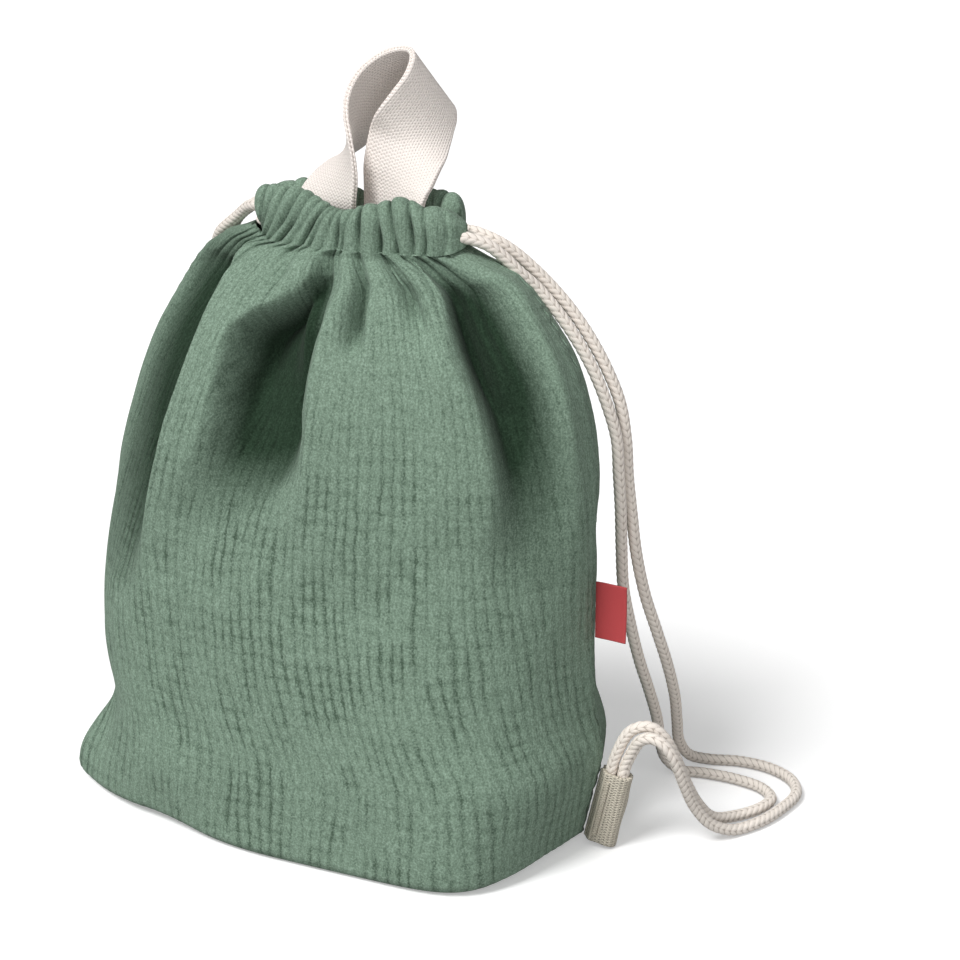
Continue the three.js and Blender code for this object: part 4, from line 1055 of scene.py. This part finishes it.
class BACKPACK_OT_stage(bpy.types.Operator):
    """Camera at the photograph's angle, pale floor and soft studio light"""

    bl_idname = "backpack.stage"
    bl_label = "Stage"

    def execute(self, context):
        aim = Vector(to_metres(AIM))
        turn, rise = math.radians(AZIMUTH), math.radians(ELEVATION)
        back = Vector((math.sin(turn) * math.cos(rise), -math.cos(turn) * math.cos(rise), math.sin(rise)))
        lens = bpy.data.cameras.new("camera")
        lens.lens, lens.sensor_width, lens.clip_end = LENS, 36.0, 100.0
        camera = bpy.data.objects.new("camera", lens)
        camera.location = aim + back * DISTANCE
        camera.rotation_euler = back.to_track_quat("Z", "Y").to_euler()
        context.scene.collection.objects.link(camera)
        context.scene.camera = camera
        self.floor(context)
        self.lights(context, aim)
        context.scene.view_settings.view_transform = "Standard"
        return {"FINISHED"}

    def floor(self, context):
        """A pale floor that looks brighter to the camera than to the bag."""
        bm = bmesh.new()
        bmesh.ops.create_grid(bm, x_segments=8, y_segments=8, size=FLOOR_HALF)
        mesh = mesh_of("floor", bm)
        floor = bpy.data.objects.new("floor", mesh)
        context.scene.collection.objects.link(floor)
        material, tree, surface = material_tree("pale floor", roughness=0.9, specular_ior_level=0.1)
        grain = noise(tree, add_node(tree, "ShaderNodeTexCoord").outputs["Object"], 300.0, 2.0)
        tint = tuple(colours().floor)
        seen = add_node(tree, "ShaderNodeLightPath").outputs["Is Camera Ray"]
        mixed = blend_colours(tree, maths(tree, "MULTIPLY", grain, 0.10), tint, dimmed(tint, 0.9))
        mixed = blend_colours(tree, seen, dimmed(tint, 0.6), mixed)
        tree.links.new(mixed, surface.inputs["Base Color"])
        surface.inputs["Emission Color"].default_value = (1.0, 1.0, 1.0, 1.0)
        tree.links.new(maths(tree, "MULTIPLY", seen, FLOOR_GLOW), surface.inputs["Emission Strength"])
        mesh.materials.append(material)

    def lights(self, context, aim):
        """A white surround, dim for all but the camera, and two broad suns."""
        world = bpy.data.worlds.new("studio")
        world.use_nodes = True
        tree = world.node_tree
        sky = tree.nodes["Background"]
        sky.inputs["Color"].default_value = (1.0, 1.0, 1.0, 1.0)
        seen = add_node(tree, "ShaderNodeLightPath").outputs["Is Camera Ray"]
        tree.links.new(maths(tree, "MULTIPLY_ADD", seen, 1.0 - SKY, SKY), sky.inputs["Strength"])
        context.scene.world = world
        for name, place, spread, energy in SUNS:
            lamp = bpy.data.lights.new(name, "SUN")
            lamp.angle, lamp.energy = math.radians(spread), energy
            light = bpy.data.objects.new(name, lamp)
            light.location = aim + Vector(place)
            light.rotation_euler = Vector(place).to_track_quat("Z", "Y").to_euler()
            context.scene.collection.objects.link(light)


# Pieces

class BACKPACK_OT_cords(bpy.types.Operator):
    """Braided cords: a run in the casings and two free strands on each side"""

    bl_idname = "backpack.cords"
    bl_label = "Cords"

    def execute(self, context):
        for name, (hand, side, route) in ROUTES.items():
            self.strand(name, hand, side, route)
        for name, hand in (("right_cord_run", 1), ("left_cord_run", -1)):
            self.run(name, hand)
        return {"FINISHED"}

    def strand(self, node, hand, side, route):
        """A free strand from the casing's end along its route into the tab."""
        cord, width = sizes().cord / MM, sizes().webbing_width / MM
        places = np.array([CORD_EXIT[hand] - back for back in (0.2, 0.1, 0.0)]) * hand
        inside = in_casing(side, places, np.zeros(3), -hand * CORD_LANE)
        along = inside[2] - inside[1]
        lead = inside[2] + along / np.linalg.norm(along) * (CORD_PLAY + cord / 2)
        origin, out, _, up = tab_frame(hand)
        into = [origin + out * cord_seats()[side] + up * (width + rise)
                for rise in (cord * 0.9, 0.0, -TAB_GRIP / 2, -TAB_GRIP)]
        line = smooth_line([*inside, lead, *route, *into], 0.55)
        piece = braid(node.replace("strand", "cord"), line, node)

    def run(self, node, hand):
        """The cord inside the casings: along the front, round the far end and back."""
        count = 12
        places = np.linspace(RUN_START, -RUN_TURN[hand], count) * hand
        go, back = (in_casing(side, places, np.zeros(count), -hand * CORD_LANE) for side in (FRONT, BACK))
        turn = [(go[-1, 0] - hand * reach * 2.5, go[-1, 1] * -across, go[0, 2])
                for reach, across in ((0.62, -0.8), (1.0, 0.0), (0.62, 0.8))]
        braid(node.replace("run", "in_casing"), smooth_line([*go, *turn, *back[::-1]], 0.7), node)


class BACKPACK_OT_panels(bpy.types.Operator):
    """Front and back gauze panels with their folds, gathers and crinkle"""

    bl_idname = "backpack.panels"
    bl_label = "Panels"

    def execute(self, context):
        for side, node in ((FRONT, "front_panel"), (BACK, "back_panel")):
            points, uv, creases = panel_surface(side)
            if side == BACK:
                points, uv = points[:, ::-1], uv[:, ::-1]
                creases = {key: value[:, ::-1] for key, value in creases.items()}
            mesh = grid_mesh(node.replace("panel", "gauze"), points, uv, closed=True, **creases)
            piece = finish_piece(mesh, material_once("sage gauze", gauze), "bag", [node])
            thicken(piece, sizes().cloth, -1.0)
        return {"FINISHED"}


class BACKPACK_OT_casings(bpy.types.Operator):
    """Gathered casings along the mouth and the stitches under them"""

    bl_idname = "backpack.casings"
    bl_label = "Casings"

    def execute(self, context):
        for side, node in ((FRONT, "front_casing"), (BACK, "back_casing")):
            points, uv, creases = casing_surface(side)
            if side == FRONT:
                points, uv = points[::-1], uv[::-1]
                creases = {key: value[::-1] for key, value in creases.items()}
            mesh = grid_mesh(node + "_cloth", points, uv, closed=True, **creases)
            piece = finish_piece(mesh, material_once("sage gauze", gauze), "bag", [node])
            thicken(piece, sizes().cloth, -1.0)
            self.stitches(side, node + "_thread")
        return {"FINISHED"}

    def stitches(self, side, node):
        """A row of short stitches in the groove under the casing."""
        size = sizes()
        stitch = size.stitch / MM
        step = stitch * 1.35
        across = np.linspace(*STITCH_ENDS, 801)
        level = np.full_like(across, NECK_HEIGHT)
        row = outline(side, across, level)
        run = run_of(row)
        ease = smoothstep(0, FOOT_EASE, np.minimum(run, run[-1] - run))
        stand = (CASING_FOOT - FLOOR_CLOTH) * ease + FLOOR_CLOTH
        stand = stand + size.pleat_depth / MM * (gather(side, across, 0.0) - GATHER_MIDDLE)
        row = row + outward(side, across, level) * stand[:, None]
        run = run_of(row)
        bm = bmesh.new()
        for at in np.arange(step / 2, run[-1] - step / 2, step):
            start, end = (along_line(row, run, at + off) for off in (-stitch / 2, stitch / 2))
            place = Matrix.Translation(Vector(to_metres((start + end) / 2)))
            place = place @ Vector(end - start).to_track_quat("Z", "Y").to_matrix().to_4x4()
            place = place @ Matrix.Diagonal((size.thread, size.thread, size.stitch, 1.0))
            bmesh.ops.create_uvsphere(bm, u_segments=6, v_segments=5, radius=0.5, matrix=place)
        thread = material_once("sage thread", plain_thread, colours().sage)
        finish_piece(mesh_of(node.replace("thread", "stitches"), bm), thread, "bag", [node])


class BACKPACK_OT_seams(bpy.types.Operator):
    """Turned-in seam allowances inside the bag"""

    bl_idname = "backpack.seams"
    bl_label = "Seams"

    def execute(self, context):
        for hand, node in ((1, "right_side_seam"), (-1, "left_side_seam")):
            level = np.linspace(*SIDE_SEAM_ENDS, 100)
            root = seam(np.full_like(level, hand), level)
            root[:, 0] -= hand * ALLOWANCE_INSET
            self.strip(node, root, (-hand, 0, 0), level, level, 31)
        across = np.linspace(*BASE_SEAM_ENDS, 90)
        root = seam(across, np.full_like(across, FLOOR_CLOTH))
        root[:, 2] = ALLOWANCE_INSET
        self.strip("bottom_seam", root, (0, 0, 1), across * 100, across * 120, 32)
        return {"FINISHED"}

    def strip(self, node, root, inward, ripple, along, seed):
        """A strip of cloth that stands in from its root line and ripples towards its free edge."""
        columns = 6
        depth = np.linspace(0, ALLOWANCE, columns)[None, :]
        points = root[:, None, :] + np.array(inward, float) * depth[..., None]
        points[..., 1] += 0.7 * lumps(ripple[:, None], depth * 3, 9, 30, seed) * depth / ALLOWANCE
        uv = cloth_map(np.arange(columns)[None, :] * 1.6, along[:, None])
        creases = dict.fromkeys(("phase", "row", "strength", "painted_shade"), np.zeros(points.shape[:2]))
        mesh = grid_mesh(node + "_allowance", points, uv, **creases)
        piece = finish_piece(mesh, material_once("sage gauze", gauze), "bag", [node])
        thicken(piece, sizes().cloth, 0.0)


class BACKPACK_OT_handle(bpy.types.Operator):
    """Webbing grab handle, sewn inside the mouth, with its bar tacks"""

    bl_idname = "backpack.handle"
    bl_label = "Handle"

    def execute(self, context):
        width, thick = sizes().webbing_width / MM, sizes().handle / MM
        level = tail_level()
        rows = np.array(HANDLE)
        middle = rows[:, :3] + np.array([0, 0, RIM_HEIGHT])
        line = smooth_line(middle, 0.8)
        run = run_of(line)
        at = np.array([run[np.argmin(np.linalg.norm(line - p, axis=1))] for p in middle])
        turn, tilt = (np.radians(through(at, rows[:, k], run)) for k in (3, 4))
        across = np.stack([np.cos(turn) * np.cos(tilt), np.sin(turn) * np.cos(tilt), np.sin(tilt)], axis=-1)
        face = np.cross(np.gradient(line, axis=0), across)
        face /= np.linalg.norm(face, axis=1, keepdims=True)
        w, off_face = doubled_band(width, thick).T
        # the free band cups a little, and its sewn ends lie flat
        sewn = TAIL_LENGTH, TAIL_LENGTH + 14
        free = smoothstep(*sewn, run) * smoothstep(*sewn, run[-1] - run)
        cup = free[:, None] * 0.5 * (2 * w[None, :] / width) ** 2 * np.sin(run / 17.0)[:, None]
        points = line[:, None, :] + across[:, None, :] * w[None, :, None]
        points = points + face[:, None, :] * (cup + off_face[None, :])[..., None]
        uv = cloth_map(w[None, :], run[:, None])
        mesh = grid_mesh("handle_webbing", points, uv, closed=True, capped=True)
        cloth = material_once("dotted webbing", webbing_cloth, colours().webbing, HANDLE_WEAVE, HANDLE_RELIEF)
        piece = finish_piece(mesh, cloth, None,
                             ["handle_loop", "handle_left_tail", "handle_right_tail"])
        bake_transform(piece)
        thread = material_once("beige thread", plain_thread, colours().webbing)
        wide, up, front = np.array([1.0, 0, 0]), np.array([0, 0, 1.0]), np.array([0, -1.0, 0])
        for hand, sign in (("left", -1), ("right", 1)):
            origin = np.array([sign * TAIL_SPACING / 2, level - thick / 2, RIM_HEIGHT - TAIL_LENGTH + 2.4])
            bar_tack(f"handle_{hand}_tack", thread, origin, wide, up, front, f"handle_{hand}_bartack")
        return {"FINISHED"}


class BACKPACK_OT_tabs(bpy.types.Operator):
    """Folded webbing tabs that hold the cord ends, with their bar tacks"""

    bl_idname = "backpack.tabs"
    bl_label = "Tabs"

    def execute(self, context):
        size = sizes()
        width, thick, cord = (value / MM for value in (size.webbing_width, size.webbing, size.cord))
        half = cord / 2 + CORD_PLAY + thick / 2
        outer = cord_seats()[BACK]
        # the band leaves the seam, spreads round both cords and comes back
        leave = [(0.2, thick * 0.55), (1.4, thick * 0.9), (TAB_FLARE + 0.6, half), (TAB_FLARE + 3, half)]
        arc = np.radians(np.linspace(-90, 90, 15))
        bend = [(outer + half * math.cos(a), half * math.sin(a)) for a in arc]
        path = [(x, -y, 0) for x, y in leave] + [(x, y, 0) for x, y in bend + leave[::-1]]
        line = smooth_line(path, 0.6)
        run = run_of(line)[None, :]
        w = np.linspace(0, 1, 49)[:, None]
        # the tabs' colour carries painted shade, and their bar tack thread takes the same colour
        cloth = material_once("basket webbing", webbing_cloth, colours().tab, TAB_WEAVE, TAB_RELIEF)
        thread = material_once("tab thread", plain_thread, colours().tab)
        for hand, node in ((1, "right_cord_tab"), (-1, "left_cord_tab")):
            origin, out, flat, up = tab_frame(hand)
            pinch = 1 - 0.05 * np.sin(np.pi * w) + 0.02 * np.sin(w * 9)
            loose = smoothstep(4, 9, line[:, 0])[None, :]
            x = line[None, :, 0] + loose * (0.5 * lumps(w * 30, run, 9, 7, 41 + hand))
            y = line[None, :, 1] * (1 + (pinch - 1) * loose)
            rise = w * width + 0.5 * lumps(run, w * 4, 6, 3, 43 + hand) * loose
            points = origin + out * x[..., None] + flat * y[..., None] + up * rise[..., None]
            uv = cloth_map(run, w * width)
            if hand < 0:
                points, uv = points[:, ::-1], uv[:, ::-1]
            mesh = grid_mesh(node.replace("_tab", "_tab_webbing"), points, uv)
            piece = finish_piece(mesh, cloth, "bag", [node])
            thicken(piece, size.webbing * 0.95, 0.0)
            tack = origin + out * (TAB_FLARE + 2.4) - flat * (half + thick / 2) + up * width / 2
            bar_tack(node.replace("cord_tab", "tab_tack"), thread, tack, up, out, -flat,
                     node.replace("cord_tab", "tab_bartack"))
        return {"FINISHED"}


class BACKPACK_OT_label(bpy.types.Operator):
    """Folded red label in the right side seam"""

    bl_idname = "backpack.label"
    bl_label = "Label"

    def execute(self, context):
        size = sizes()
        reach, tall, ply = size.label_length / MM, size.label_height / MM, LABEL_PLY
        low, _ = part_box("side_label")
        root = low.x / MM - SHIFT[0]
        leave = [(0.0, ply * 0.4), (1.5, ply), (reach * 0.5, ply)]
        arc = np.radians(np.linspace(-90, 90, 9))
        fold = [(reach - ply + ply * math.cos(a), ply * math.sin(a)) for a in arc]
        path = [(x, -y, 0) for x, y in leave] + [(x, y, 0) for x, y in fold + leave[::-1]]
        line = smooth_line(path, 0.35)
        run = run_of(line)[None, :]
        w = np.linspace(0, 1, 61)[:, None]
        out = line[None, :, 0] / reach
        bow = 0.7 * np.sin(np.pi * w) * out ** 2
        x = root + line[None, :, 0] + np.zeros_like(bow)
        y = line[None, :, 1] + bow
        z = LABEL_BOTTOM + w * tall - 0.8 * out ** 1.5
        mesh = grid_mesh("side_label_fold", np.stack([x, y, z], axis=-1), cloth_map(run, w * tall))
        cloth = material_once("red woven label", label_weave)
        piece = finish_piece(mesh, cloth, "label", ["side_label"])
        thicken(piece, LABEL_THICK, 0.0)
        return {"FINISHED"}


class BACKPACK_PT_panel(bpy.types.Panel):
    """Builds the backpack piece by piece"""

    bl_idname = "BACKPACK_PT_panel"
    bl_label = "Backpack"
    bl_space_type = "VIEW_3D"
    bl_region_type = "UI"
    bl_category = "Backpack"

    def draw(self, context):
        for group in (context.scene.backpack_sizes, context.scene.backpack_colours):
            column = self.layout.column(align=True)
            for key in group.__annotations__:
                column.prop(group, key)
        for operator in OPERATORS:
            self.layout.operator(operator.bl_idname)


OPERATORS = (
    BACKPACK_OT_stage, BACKPACK_OT_cords, BACKPACK_OT_panels, BACKPACK_OT_casings, BACKPACK_OT_seams,
    BACKPACK_OT_handle, BACKPACK_OT_tabs, BACKPACK_OT_label,
)
CLASSES = (BackpackSizes, BackpackColours, *OPERATORS, BACKPACK_PT_panel)


def register():
    for cls in CLASSES:
        bpy.utils.register_class(cls)
    bpy.types.Scene.backpack_sizes = PointerProperty(type=BackpackSizes)
    bpy.types.Scene.backpack_colours = PointerProperty(type=BackpackColours)


def unregister():
    del bpy.types.Scene.backpack_colours
    del bpy.types.Scene.backpack_sizes
    for cls in reversed(CLASSES):
        bpy.utils.unregister_class(cls)


def main():
    register()
    bpy.ops.backpack.stage()
    bpy.ops.backpack.cords()
    bpy.ops.backpack.panels()
    bpy.ops.backpack.casings()
    bpy.ops.backpack.seams()
    bpy.ops.backpack.handle()
    bpy.ops.backpack.tabs()
    bpy.ops.backpack.label()


if __name__ == "__main__":
    main()
